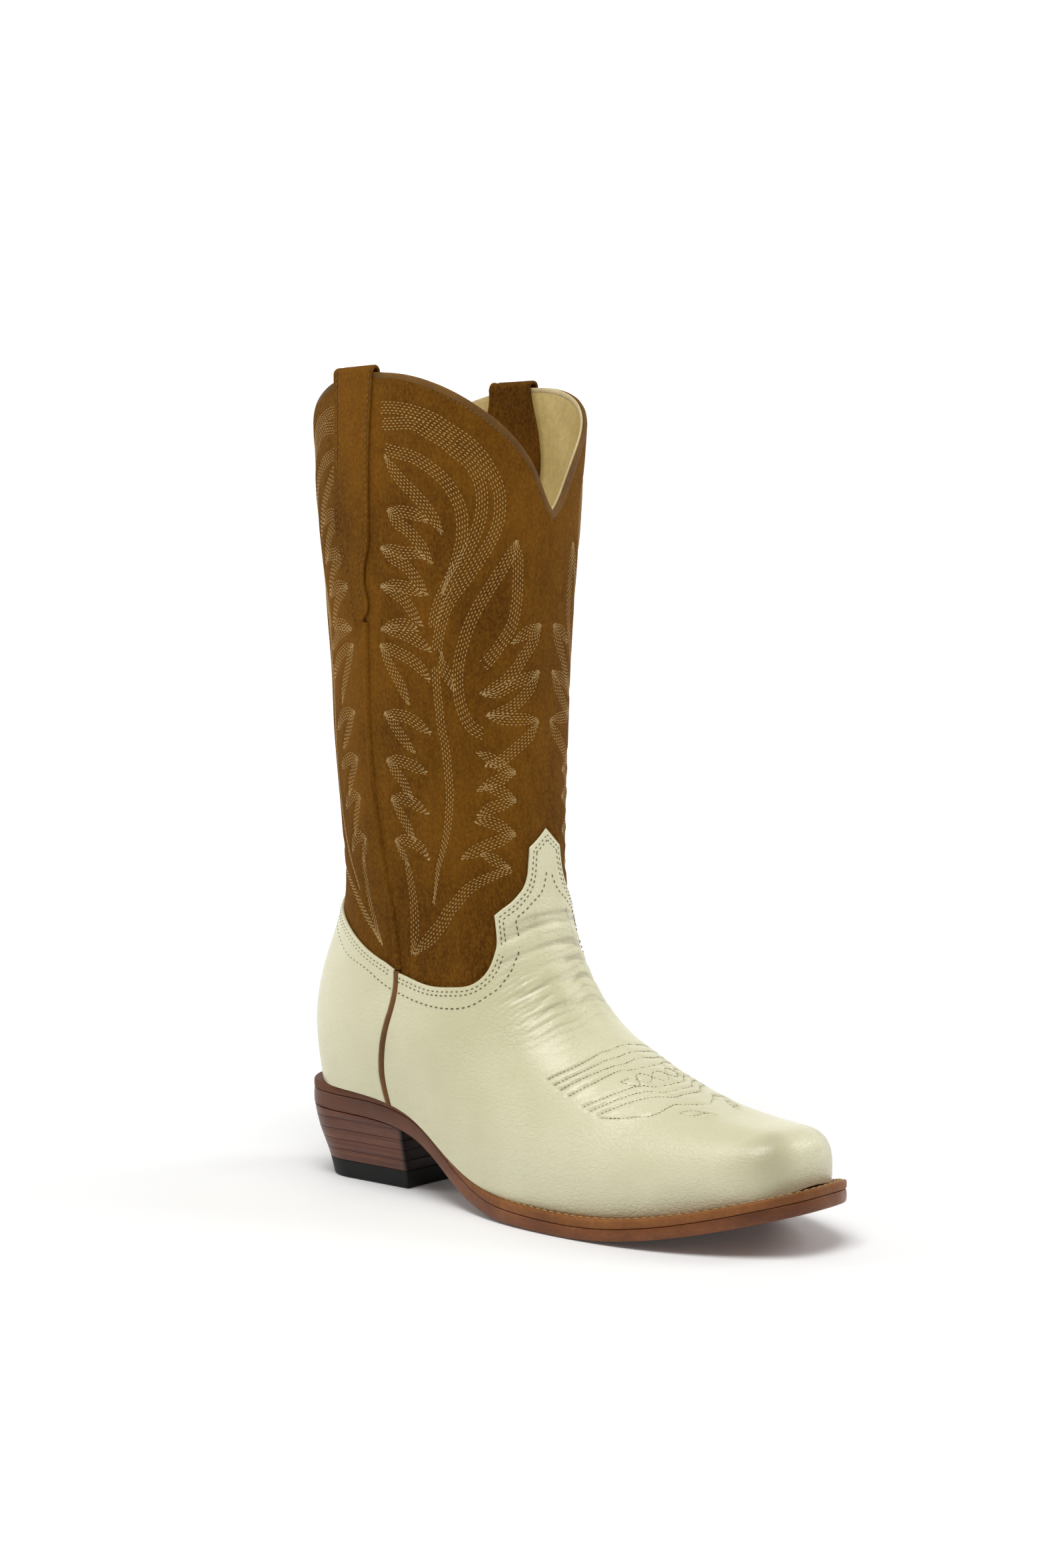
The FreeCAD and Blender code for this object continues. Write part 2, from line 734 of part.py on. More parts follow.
def heel_section(z, back_x, breast_x, half):
    """A D-shaped ring: round at the back, straight sides, flat across the breast."""
    centre = ROUND_X - ROUND_LEAN * z
    round_off = 0.9
    points = []
    for angle in spread(-90, 90, 13):
        a = math.radians(angle)
        x = centre - (centre - back_x) * abs(math.cos(a)) ** round_off
        y = math.copysign(half * abs(math.sin(a)) ** round_off, a) if angle else 0.0
        points.append(FreeCAD.Vector(x, y, z))
    curve = Part.BSplineCurve()
    along = FreeCAD.Vector(1, 0, 0)
    curve.interpolate(points, InitialTangent=along * -1, FinalTangent=along)
    corner = half - 0.6 + FLARE * z
    corner_a = FreeCAD.Vector(breast_x, -corner, z)
    corner_b = FreeCAD.Vector(breast_x, corner, z)
    return Part.Wire([Part.makeLine(corner_a, points[0]), curve.toShape(),
                      Part.makeLine(points[-1], corner_b), Part.makeLine(corner_b, corner_a)])


def heel_block():
    sections = [heel_section(0.0, 17.5, 72.4, 25.0), heel_section(CAP, 15.6, 72.7, 25.9),
                heel_section(20.0, 11.0, 73.3, 28.6), heel_section(34.0, 8.7, BREAST_X, 30.6)]
    return Part.makeLoft(sections, True, False)


def between(z0, z1):
    return Part.makeBox(140, 140, z1 - z0, FreeCAD.Vector(-20, -70, z0))


def cap_nails():
    nails = []
    for x, y in ((24, 0), (30, 14), (30, -14), (46, 19), (46, -19), (64, 19), (64, -19), (64, 0)):
        nails.append(Part.makeCylinder(1.2, CAP - 0.5, FreeCAD.Vector(x, y, 0.2)))
    return Part.makeCompound(nails)


def nail_holes():
    holes = []
    for nail in cap_nails().Solids:
        box = nail.BoundBox
        holes.append(Part.makeCylinder(1.21, CAP, FreeCAD.Vector(box.Center.x, box.Center.y, -0.5)))
    return Part.makeCompound(holes)


def heel_cap():
    return heel_block().common(between(0, CAP)).cut(nail_holes())


def below_ground(x):
    return -12.0


def under_sole(x):
    return sole_bottom(x) - GAP


def heel_lift(number):
    """One leather layer of the stack; the last one is a wedge that meets the bent sole."""
    low = CAP + GAP + (number - 1) * LIFT
    if number <= FULL_LIFTS:
        return heel_block().common(between(low, low + LIFT - GAP))
    return heel_block().common(between(low, 60)).common(bent_slab(below_ground, under_sole))


# ---------------------------------------------------------------- all nodes
def make_nodes():
    nodes = {
        "heel_cap": heel_cap(),
        "heel_cap_nails": cap_nails(),
        "outsole": outsole(),
        "wooden_pegs": wooden_pegs(),
        "welt": welt(),
        "heel_rand": heel_rand(),
        "insole_rib": insole_rib(),
        "cork_filler": cork_filler(),
        "steel_shank": steel_shank(),
        "shank_cover": shank_cover(),
        "insole": insole(),
        "sock_liner": sock_liner(),
        "vamp": vamp(),
        "counter_cover": counter_cover(),
        "counter_stiffener": counter_stiffener(),
        "toe_puff": toe_puff(),
        "vamp_lining": vamp_lining(),
        "heel_lining": heel_lining(),
        "shaft_front": shaft_panel(FRONT),
        "shaft_back": shaft_panel(BACK),
        "shaft_lining_front": shaft_lining(FRONT),
        "shaft_lining_back": shaft_lining(BACK),
        "top_binding_front": top_binding(FRONT),
        "top_binding_back": top_binding(BACK),
        "side_piping_outer": side_piping(SEAM),
        "side_piping_inner": side_piping(-SEAM),
        "pull_strap_outer": pull_strap(-1),
        "pull_strap_inner": pull_strap(1),
    }
    for number in range(1, FULL_LIFTS + 2):
        nodes["heel_lift_%d" % number] = heel_lift(number)
    return nodes


os.makedirs("parts", exist_ok=True)
nodes = make_nodes()
boxes = [shape.optimalBoundingBox() for shape in nodes.values()]
middle_x = 0.5 * (min(b.XMin for b in boxes) + max(b.XMax for b in boxes))
middle_y = 0.5 * (min(b.YMin for b in boxes) + max(b.YMax for b in boxes))
lowest = min(b.ZMin for b in boxes)
print("origin at", round(middle_x, 3), round(middle_y, 3), round(lowest, 3))
for name, shape in nodes.items():
    shape.translate(FreeCAD.Vector(-middle_x, -middle_y, -lowest))
    shape.exportStep("parts/%s.step" % name)
    print(name, shape.ShapeType, len(shape.Solids), shape.isValid(), round(shape.Volume, 1))
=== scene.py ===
import math
import bmesh
import bpy
import numpy as np
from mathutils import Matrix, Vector


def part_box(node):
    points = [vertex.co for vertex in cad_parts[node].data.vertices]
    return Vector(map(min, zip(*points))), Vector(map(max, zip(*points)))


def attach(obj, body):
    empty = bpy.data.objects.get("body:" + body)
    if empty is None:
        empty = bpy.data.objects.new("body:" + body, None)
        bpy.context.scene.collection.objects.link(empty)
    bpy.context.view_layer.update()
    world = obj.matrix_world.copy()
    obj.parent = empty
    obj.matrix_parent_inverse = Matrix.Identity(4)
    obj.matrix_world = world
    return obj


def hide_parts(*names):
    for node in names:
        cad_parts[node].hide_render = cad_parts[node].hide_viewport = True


# The boot's visible leather, sole and stitching, built on the same body surface as the CAD solids.
# Lengths in the shape code are millimetres and become metres when a mesh is made.
# Surface coordinates: s round the boot (0 back, SEAM side seam, 1 front, negative = inner side of the
# back, above 1 = inner side of the front), v up it (0 feather line, 0.5 ankle, 1 top).
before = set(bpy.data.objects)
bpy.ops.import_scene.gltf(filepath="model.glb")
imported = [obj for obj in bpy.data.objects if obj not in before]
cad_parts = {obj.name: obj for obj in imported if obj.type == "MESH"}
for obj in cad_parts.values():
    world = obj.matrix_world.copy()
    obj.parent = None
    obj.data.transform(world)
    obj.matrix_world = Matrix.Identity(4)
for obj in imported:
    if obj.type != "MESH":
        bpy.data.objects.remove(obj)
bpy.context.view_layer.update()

HEIGHT, ANKLE_Z, WALL_V, ANKLE_V, SEAM = 345.0, 138.0, 0.10, 0.50, 0.28
WALL_HEIGHT, HEEL_BACK_X, HEEL_ROUND, TOE_X, TOE_ROUND, BLEND = 14.0, 12.0, 26.0, 260.0, 13.0, 22.0
SUEDE, CALF, LINING, GAP, WELT = 1.5, 1.3, 0.9, 0.06, 3.5
SOLE_BACK_X, SOLE_TIP_X, SEAT_X, NOSE_X, BREAST_X, WELT_START_X = 9.0, 269.0, 30.0, 259.0, 74.0, 106.0
CAP, LIFT, FULL_LIFTS, TUCK = 7.5, 4.6, 4, 0.05
ORIGIN_X = SOLE_TIP_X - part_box("outsole")[1].x * 1000.0
V_PER_MM = (1.0 - ANKLE_V) / (HEIGHT - ANKLE_Z)
FRONT_RUN, BACK_RUN = 126.0, 296.0      # mm per unit of s at the top, front and back
CHART_MM = np.array([FRONT_RUN, 1.0 / V_PER_MM])
HAIR, BEAD, HALF_PIPE = 0.0006, 0.006, 0.0058
PIPING_TOP, STRAP_LOW, STRAP_INNER_LOW, STRAP = 0.742, 0.744, 0.855, 1.5


class Curve:
    """Natural cubic spline through a few points, level outside them."""

    def __init__(self, points):
        p = np.array(points, float)
        self.x, self.y = p[:, 0], p[:, 1]
        h, n = np.diff(self.x), len(p)
        a, r = np.eye(n), np.zeros(n)
        for i in range(1, n - 1):
            a[i, i - 1:i + 2] = h[i - 1], 2 * (h[i - 1] + h[i]), h[i]
            r[i] = 6 * ((self.y[i + 1] - self.y[i]) / h[i] - (self.y[i] - self.y[i - 1]) / h[i - 1])
        self.m = np.linalg.solve(a, r)

    def __call__(self, t):
        t = np.clip(t, self.x[0], self.x[-1])
        i = np.clip(np.searchsorted(self.x, t) - 1, 0, len(self.x) - 2)
        h = self.x[i + 1] - self.x[i]
        b = (t - self.x[i]) / h
        a = 1 - b
        bend = (a ** 3 - a) * self.m[i] + (b ** 3 - b) * self.m[i + 1]
        return a * self.y[i] + b * self.y[i + 1] + bend * h * h / 6


feather = Curve([(0, 43), (35, 40), (68, 38), (88, 32), (108, 20.5), (130, 11.6), (155, 9.1),
                 (190, 9.2), (220, 13.5), (245, 19.5), (271, 27)])
ridge = Curve([(0, 99), (40, 108), (80, 112), (110, 106), (135, 90), (160, 72.5), (182, 59.5),
               (205, 50), (225, 46), (245, 44.5), (272, 44)])
shaft_back_x = Curve([(60, 22), (90, 24), (110, 26), (135, 26.3), (160, 24.8), (200, 22),
                      (250, 18.5), (300, 14.5), (340, 14)])
shaft_front_x = Curve([(60, 136), (90, 132), (105, 129.5), (120, 128), (140, 127), (160, 126.5),
                       (200, 127), (250, 129), (300, 132.5), (340, 135.5)])
width_outer = Curve([(0, 24), (25, 29.5), (50, 33), (80, 36), (105, 39.5), (130, 43.5), (155, 46),
                     (182, 44.5), (205, 40.5), (225, 34), (245, 26), (263, 18.5)])
width_inner = Curve([(0, 24), (25, 29.5), (50, 32.5), (80, 33), (105, 33), (130, 36.5), (155, 42),
                     (182, 44.5), (205, 41.5), (225, 35), (245, 26.5), (263, 18.5)])
shaft_half_y = Curve([(60, 33), (90, 34), (115, 36), (135, 38), (160, 40.5), (200, 43.5),
                      (250, 46.5), (300, 49.5), (340, 50.5)])
side_power = Curve([(0, 2.2), (100, 2.0), (150, 1.9), (200, 2.1), (240, 2.5), (272, 2.8)])
top_power = Curve([(0, 2.3), (60, 2.2), (110, 1.9), (150, 1.75), (200, 2.1), (240, 2.7), (272, 2.9)])
seam_line = Curve([(0, 0.287), (0.1, 0.283), (0.19, 0.297), (0.285, 0.318), (0.36, 0.298),
                   (0.5, 0.256), (0.75, 0.26), (1, 0.268)])
EAR, SHOULDER = 0.699, 0.92
vamp_side = Curve([(0.28, 0.301), (0.35, 0.305), (0.40, 0.313), (0.45, 0.322), (0.50, 0.329),
                   (0.55, 0.3425), (0.60, 0.363), (0.63, 0.378), (0.65, 0.388), (0.672, 0.404),
                   (EAR, 0.4316)])
vamp_throat = Curve([(EAR, 0.4316), (0.75, 0.440), (0.80, 0.4475), (0.85, 0.459), (0.876, 0.4685),
                     (0.894, 0.481), (0.9075, 0.497), (SHOULDER, 0.5205)])
vamp_tip = Curve([(SHOULDER, 0.5205), (0.95, 0.5265), (1.0, 0.538)])


def vamp_edge(u):
    return np.where(u < EAR, vamp_side(u), np.where(u < SHOULDER, vamp_throat(u), vamp_tip(u)))


counter_edge = Curve([(0, 0.432), (0.045, 0.423), (0.094, 0.399), (0.144, 0.370), (0.196, 0.335),
                      (0.232, 0.317), (0.28, 0.303)])
scallop = Curve([(0, 0.850), (4, 0.861), (10, 0.886), (15, 0.904), (23, 0.925), (35, 0.948),
                 (43, 0.960), (56, 0.974), (69, 0.982), (91, 0.986)])
sole_outer = Curve([(30, 30), (60, 30.5), (85, 32.5), (110, 38), (135, 45), (160, 48.5),
                    (186, 48.5), (210, 45.5), (232, 39), (250, 30), (259, 24)])
sole_inner = Curve([(30, 30), (60, 30.5), (85, 31), (110, 33), (135, 38.5), (160, 44.5), (186, 48),
                    (210, 46), (232, 39), (250, 28.5), (259, 22.5)])
sole_depth = Curve([(0, 10.6), (90, 10.6), (120, 9.8), (150, 9.0), (271, 9.0)])
strap_middle = Curve([(0.744, 0.272), (0.79, 0.2625), (0.90, 0.2665), (1.0, 0.276)])
strap_half = Curve([(0.744, 0.006), (0.751, 0.018), (0.77, 0.0215), (0.79, 0.022), (0.805, 0.029),
                    (0.825, 0.040), (0.84, 0.043), (0.90, 0.0445), (0.96, 0.050), (1.0, 0.056)])
strap_inner_half = Curve([(0.855, 0.024), (0.862, 0.052), (0.875, 0.074), (0.90, 0.089), (0.925, 0.088),
                          (0.95, 0.074), (0.97, 0.058), (1.0, 0.050)])
strap_inner_lean = Curve([(0.855, 0.05), (0.90, 0.045), (0.95, 0.020), (0.985, 0.0)])


# ---------------------------------------------------------------- small helpers
def smooth(t):
    t = np.clip(t, 0.0, 1.0)
    return t * t * (3.0 - 2.0 * t)


def unit(vectors):
    return vectors / np.linalg.norm(vectors, axis=-1, keepdims=True)


def chord(points):
    """Distance along a polyline at each of its points."""
    return np.concatenate([[0], np.cumsum(np.linalg.norm(np.diff(points, axis=0), axis=1))])


def pick(f, k, table):
    """Each column of a table at f, when its rows stand at k."""
    return np.stack([np.interp(f, k, column) for column in table.T], 1)


def through(d, table, t):
    """Each column of a table, as a smooth curve over d, at t."""
    return np.stack([Curve(np.stack([d, column], 1))(t) for column in table.T], 1)


def flipped(s, flip):
    return 2 - s if flip else s


# ---------------------------------------------------------------- the body surface
def foot_field(x, y, z):
    low = feather(x)
    t = (z - low) / (ridge(x) - low)
    up, down = np.maximum((t - 0.3) / 0.7, 0.0), np.maximum((0.3 - t) / 0.3, 0.0)
    toe = np.maximum((x - (TOE_X - TOE_ROUND)) / TOE_ROUND, 0.0)
    heel = np.maximum((HEEL_ROUND + HEEL_BACK_X - x) / HEEL_ROUND, 0.0)
    half = np.where(y < 0, width_outer(x), width_inner(x))
    total = (np.abs(y) / half) ** side_power(x) + up ** top_power(x) + 0.09 * down ** 2
    return ((total + toe ** 2.6 + heel ** 2.2) ** (1.0 / 2.2) - 1.0) * 30.0


def shaft_field(x, y, z):
    back, front, oval = shaft_back_x(z), shaft_front_x(z), 2.15
    r = (np.abs(2 * x - back - front) / (front - back)) ** oval + (np.abs(y) / shaft_half_y(z)) ** oval
    return (r ** (1.0 / oval) - 1.0) * 40.0 + 40.0 * np.maximum((75.0 - z) / 60.0, 0.0) ** 2


def body_field(x, y, z):
    a, b = foot_field(x, y, z), shaft_field(x, y, z)
    h = np.clip(0.5 + 0.5 * (b - a) / BLEND, 0.0, 1.0)
    return b * (1.0 - h) + a * h - BLEND * h * (1.0 - h)


def rays(u, v):
    """Start points on the middle plane and directions out to the surface."""
    line = seam_line(v)
    u = np.where(u <= SEAM, u * line / SEAM, line + (u - SEAM) * (1.0 - line) / (1.0 - SEAM))
    q = math.pi / 2
    share = np.clip((u - 0.16) / 0.74, 0, 1)
    core_x = 36.0 + 205.0 * share
    low_angle = np.where(u < 0.16, 2 * q - q * u / 0.16, np.where(u > 0.90, q * (1 - (u - 0.90) / 0.10), q))
    high_angle = np.where(u < SEAM, 2 * q - q * u / SEAM, q * (1 - (u - SEAM) / (1 - SEAM)))
    front = smooth((u - SEAM) / (1 - SEAM))
    wall = np.clip(v / WALL_V, 0, 1)
    rise = np.clip((v - WALL_V) / (ANKLE_V - WALL_V), 0, 1)
    start_z = feather(core_x + 22.0 * np.cos(low_angle)) + WALL_HEIGHT * (1 - 0.35 * front) * wall
    ankle_x = 0.5 * (shaft_back_x(ANKLE_Z) + shaft_front_x(ANKLE_Z))
    bend_x = (1 - front) * 0.5 * (core_x + ankle_x) + front * 120.0
    bend_z = (1 - front) * 0.5 * (start_z + ANKLE_Z) + front * 40.0
    a, b, c = (1 - rise) ** 2, 2 * rise * (1 - rise), rise ** 2
    high_z = ANKLE_Z + (HEIGHT - ANKLE_Z) * (v - ANKLE_V) / (1 - ANKLE_V)
    z = np.where(v > ANKLE_V, high_z, a * start_z + b * bend_z + c * ANKLE_Z)
    x = np.where(v > ANKLE_V, 0.5 * (shaft_back_x(high_z) + shaft_front_x(high_z)),
                 a * core_x + b * bend_x + c * ankle_x)
    turn = smooth(rise)
    dx = np.cos(low_angle) * (1 - turn) + np.cos(high_angle) * turn
    dy = np.sin(low_angle) * (1 - turn) + np.sin(high_angle) * turn
    size = np.hypot(dx, dy) + 1e-9
    tilt = math.radians(62.0) * front * smooth(wall) * (1 - rise ** 2.2)
    return x, z, dx / size * np.cos(tilt), dy / size * np.cos(tilt), np.sin(tilt)


DS, DV, V_TOP = 0.002, 0.0025, 1.025


def body_grid():
    """Points and outward normals on an even grid; s repeats with period 2."""
    s = np.arange(-1.0, 1.0 - 1e-9, DS)
    v = np.arange(0.0, V_TOP + 1e-9, DV)
    s, v = np.meshgrid(s, v, indexing="ij")
    side = np.where(s >= 0, -1.0, 1.0)
    x0, z0, dx, dy, dz = rays(np.abs(s), v)
    near, far = np.zeros_like(x0), np.full_like(x0, 136.0)
    for _ in range(22):
        mid = 0.5 * (near + far)
        inside = body_field(x0 + dx * mid, side * dy * mid, z0 + dz * mid) < 0
        near, far = np.where(inside, mid, near), np.where(inside, far, mid)
    p = np.stack([x0 + dx * near, side * dy * near, z0 + dz * near], -1)
    h, n = 0.05, np.zeros_like(p)
    for k in range(3):
        q = [p[..., 0], p[..., 1], p[..., 2]]
        q[k] = q[k] + h
        hi = body_field(*q)
        q[k] = q[k] - 2 * h
        n[..., k] = hi - body_field(*q)
    middle = (np.abs(s) < 1e-6) | (np.abs(np.abs(s) - 1) < 1e-6)
    n[..., 1] = np.where(middle, 0.0, n[..., 1])
    return np.concatenate([p, unit(n)], -1)


GRID = body_grid()


def body_at(s, v):
    """Smooth lookup of points and normals at any (s, v)."""
    s, v = np.broadcast_arrays(np.asarray(s, float), np.asarray(v, float))
    fs = np.mod(s + 1.0, 2.0) / DS
    fv = np.clip(v, 0, V_TOP - DV) / DV
    i, j = np.floor(fs).astype(int), np.floor(fv).astype(int)
    a, b = fs - i, fv - j
    out = 0.0
    for di in range(-1, 3):
        wi = catmull(a, di)
        for dj in range(-1, 3):
            jj = np.clip(j + dj, 0, GRID.shape[1] - 1)
            out = out + (wi * catmull(b, dj))[..., None] * GRID[np.mod(i + di, GRID.shape[0]), jj]
    return out[..., :3], unit(out[..., 3:])


def catmull(t, k):
    if k == -1:
        return 0.5 * (-t + 2 * t ** 2 - t ** 3)
    if k == 0:
        return 0.5 * (2 - 5 * t ** 2 + 3 * t ** 3)
    if k == 1:
        return 0.5 * (t + 4 * t ** 2 - 3 * t ** 3)
    return 0.5 * (-t ** 2 + t ** 3)


def offset(s, v, d):
    p, n = body_at(s, v)
    return p + n * np.asarray(d, float)[..., None]


def scale_at(s, v):
    """Millimetres per unit of s and of v."""
    p = body_at(s, v)[0]
    along = np.linalg.norm(body_at(np.asarray(s) + 0.004, v)[0] - p, axis=-1) / 0.004
    up = np.linalg.norm(body_at(s, np.asarray(v) + 0.006)[0] - p, axis=-1) / 0.006
    return along, up


def fold(s):
    return np.where(s <= 1.0, np.abs(s), 2.0 - s)


def cover_top(s):
    u = fold(s)
    return np.where(u > SEAM, vamp_edge(u), counter_edge(u))


def shaft_top(s):
    u = fold(s)
    return scallop(np.where(u > SEAM, (1 - u) * FRONT_RUN, u * BACK_RUN))


def noise(x, y, z, seed, octaves=3):
    """Smooth repeatable value noise in [-1, 1], for broad unevenness of leather."""
    total, amp, size = 0.0, 1.0, 0.0
    for k in range(octaves):
        f = 2.0 ** k
        r = np.random.default_rng(seed + k).uniform(0, 6.28, (4, 4))
        w = 0.0
        for m in range(4):
            turn, stretch, tip, phase = r[m]
            across = x * math.cos(turn) * (0.7 + stretch / 9) + y * math.sin(turn)
            w = w + np.sin(f * (across + z * math.cos(tip)) + phase)
        total, size, amp = total + amp * w / 4.0, size + amp, amp * 0.55
    return total / size


# ---------------------------------------------------------------- meshes
def to_object(name, points, faces, node, material, attributes=None):
    mesh = bpy.data.meshes.new(name)
    co = np.asarray(points, float).reshape(-1, 3).copy()
    co[:, 0] -= ORIGIN_X
    co *= 0.001
    faces = np.asarray(faces, np.int32)
    size = faces.shape[1]
    mesh.vertices.add(len(co))
    mesh.vertices.foreach_set("co", co.astype(np.float32).ravel())
    mesh.loops.add(faces.size)
    mesh.loops.foreach_set("vertex_index", faces.ravel())
    mesh.polygons.add(len(faces))
    mesh.polygons.foreach_set("loop_start", np.arange(0, faces.size, size, dtype=np.int32))
    mesh.update(calc_edges=True)
    mesh.polygons.foreach_set("use_smooth", np.ones(len(faces), bool))
    for key, values in (attributes or {}).items():
        layer = mesh.attributes.new(key, "FLOAT", "POINT")
        layer.data.foreach_set("value", np.asarray(values, np.float32).ravel())
    mesh.validate()
    obj = bpy.data.objects.new(name, mesh)
    bpy.context.scene.collection.objects.link(obj)
    mesh.materials.append(material)
    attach(obj, "root")
    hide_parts(node)
    return obj


def grid_faces(rows, cols, start=0, wrap_rows=False, wrap_cols=False, flip=False):
    i = np.arange(rows if wrap_rows else rows - 1)
    j = np.arange(cols if wrap_cols else cols - 1)
    i, j = np.meshgrid(i, j, indexing="ij")
    a = i * cols + j
    b = ((i + 1) % rows) * cols + j
    c = ((i + 1) % rows) * cols + (j + 1) % cols
    d = i * cols + (j + 1) % cols
    quads = np.stack([a, b, c, d], -1).reshape(-1, 4) + start
    return quads[:, ::-1] if flip else quads


def sheet_faces(m, k, flip=False):
    """Faces of a closed sheet: two m by k grids of points, one after the other, and the rim round them."""
    ring = np.concatenate([np.arange(m) * k, (m - 1) * k + np.arange(1, k),
                           np.arange(m - 1)[::-1] * k + k - 1, np.arange(1, k - 1)[::-1]])
    after = np.roll(ring, -1)
    rim = np.stack([ring, after, after + m * k, ring + m * k], -1)
    return np.concatenate([grid_faces(m, k, flip=flip), grid_faces(m, k, m * k, flip=not flip),
                           rim if flip else rim[:, ::-1]])


def rounded(gap, roll):
    """How far a cut edge of radius roll has dropped at a distance from it."""
    return roll - np.sqrt(np.maximum(roll ** 2 - (roll - np.clip(gap, 0, roll)) ** 2, 0))


NEAR_EDGE = np.array([0.0, 0.05, 0.16, 0.34, 0.6, 1.0, 1.6])   # mm from a cut edge of the closest mesh lines


def spaced(count):
    """Fractions and edge distances: close rows near both ends, even rows between."""
    k = len(NEAR_EDGE)
    frac = np.concatenate([np.zeros(k), np.linspace(0, 1, count)[1:-1], np.ones(k)])
    push = np.concatenate([NEAR_EDGE, np.full(count - 2, -1.0), NEAR_EDGE[::-1]])
    return frac, push


def shell(name, s0, s1, low, high, outside, inside, cols, rows, material, relief=None, roll=None,
          back_relief=None, breaks=()):
    """A closed sheet of leather between two edges, with rounded cut edges and surface relief."""
    roll = (outside - inside) * 0.45 if roll is None else roll
    run = 255.0         # mm per unit of s, near enough for the mesh lines beside an edge
    near = NEAR_EDGE
    first, last = s0 + near[-1] / run, s1 - near[-1] / run
    stops = [first, *breaks, last]
    middle = []
    for a, b in zip(stops, stops[1:]):
        n = max(3, int(round((b - a) / (last - first) * cols)))
        k = np.linspace(0, 1, n + 1)
        if breaks:
            k = 0.6 * k + 0.4 * (0.5 - 0.5 * np.cos(math.pi * k))
        middle += list((a + (b - a) * k)[:-1])
    s = np.concatenate([s0 + near[:-1] / run, middle, [last], (s1 - near[:-1] / run)[::-1]])
    lo, hi = low(s), high(s)
    up_low, up_high = scale_at(s, lo)[1], scale_at(s, hi - 0.008)[1]
    frac_v, push_v = spaced(rows)
    a, b = near[-1] / up_low, near[-1] / up_high
    inner_v = (lo + a)[:, None] + frac_v[None] * (hi - b - lo - a)[:, None]
    edge_v = np.where(frac_v[None] < 0.5, lo[:, None] + push_v[None] / up_low[:, None],
                      hi[:, None] - push_v[None] / up_high[:, None])
    v = np.where(push_v[None] < 0, inner_v, edge_v)
    ss = np.repeat(s[:, None], v.shape[1], 1)
    gap_s = np.minimum(s - s0, s1 - s)[:, None] * run
    lean = np.gradient(hi, s) * up_high / scale_at(s, hi - 0.008)[0]
    lean = 1.0 / np.sqrt(1.0 + lean ** 2)
    gap_v = np.minimum((v - lo[:, None]) * up_low[:, None], (hi[:, None] - v) * (up_high * lean)[:, None])
    gap = np.minimum(gap_s, gap_v)
    drop = rounded(gap, roll)
    p, n = body_at(ss, v)
    add = relief(ss, v, p) if relief else 0.0
    add_back = back_relief(ss, v, p) if back_relief else 0.0
    outer = p + n * (outside - drop + add)[..., None]
    inner = p + n * (inside + drop + add_back)[..., None]
    # the relief is kept on the mesh so the calf material can paint shade into its folds and grooves
    relief_shade = {"relief_shade": np.concatenate([add.ravel()] * 2)} if relief else None
    points = np.concatenate([outer.reshape(-1, 3), inner.reshape(-1, 3)])
    return to_object(name, points, sheet_faces(*ss.shape), name, material, relief_shade)


def stitches(name, rows, node, material):
    """Thread stitches. Each row is (centres, directions, normals, length, radius)."""
    ring = np.arange(5) * 2 * math.pi / 5 + math.pi / 2
    along = np.array([-0.33, 0.0, 0.33])
    points, faces, start = [], [], 0
    for c, t, n, length, radius in rows:
        if not len(c):
            continue
        t = unit(t)
        n = unit(n - t * np.sum(n * t, 1, keepdims=True))
        b = np.cross(t, n)
        k = len(c)
        body = np.zeros((k, 17, 3))
        lift = np.array([-0.15, 0.35, -0.15])
        for i in range(3):
            r = radius * (0.9, 1.08, 0.9)[i]
            for j in range(5):
                body[:, i * 5 + j] = (c + t * along[i] * length
                                      + n * (r * 0.8 * math.sin(ring[j]) + lift[i] * radius)
                                      + b * r * math.cos(ring[j]))
        body[:, 15] = c - t * length * 0.5 - n * radius * 1.3
        body[:, 16] = c + t * length * 0.5 - n * radius * 1.3
        quad = []
        for i in range(2):
            for j in range(5):
                quad.append((i * 5 + j, i * 5 + (j + 1) % 5, (i + 1) * 5 + (j + 1) % 5))
                quad.append((i * 5 + j, (i + 1) * 5 + (j + 1) % 5, (i + 1) * 5 + j))
        for j in range(5):
            quad.append((15, (j + 1) % 5, j))
            quad.append((16, 10 + j, 10 + (j + 1) % 5))
        quad = np.array(quad)
        faces.append((quad[None] + (np.arange(k) * 17)[:, None, None]).reshape(-1, 3) + start)
        points.append(body.reshape(-1, 3))
        start += k * 17
    return to_object(name, np.concatenate(points), np.concatenate(faces), node, material)


def even_steps(points, pitch, phase=0.0):
    """Parameters at even distances along a polyline."""
    d = chord(points)
    count = int((d[-1] - phase * pitch) / pitch)
    if count < 1:
        return np.zeros(0)
    at = (np.arange(count) + 0.5 + phase) * pitch
    return np.interp(at, d, np.linspace(0, 1, len(points)))


def along_line(s, v, depth, pitch, length, radius, phase=0.0):
    """Stitches along a line given as arrays of s and v, raised by depth from the surface."""
    p, n = body_at(s, v)
    p = p + n * np.broadcast_to(depth, s.shape)[:, None]
    f = even_steps(p, pitch, phase)
    if not len(f):
        return (np.zeros((0, 3)),) * 3 + (length, radius)
    k = np.linspace(0, 1, len(s))
    e = 0.5 / max(len(s) - 1, 1)
    return pick(f, k, p), pick(f + e, k, p) - pick(f - e, k, p), pick(f, k, n), length, radius


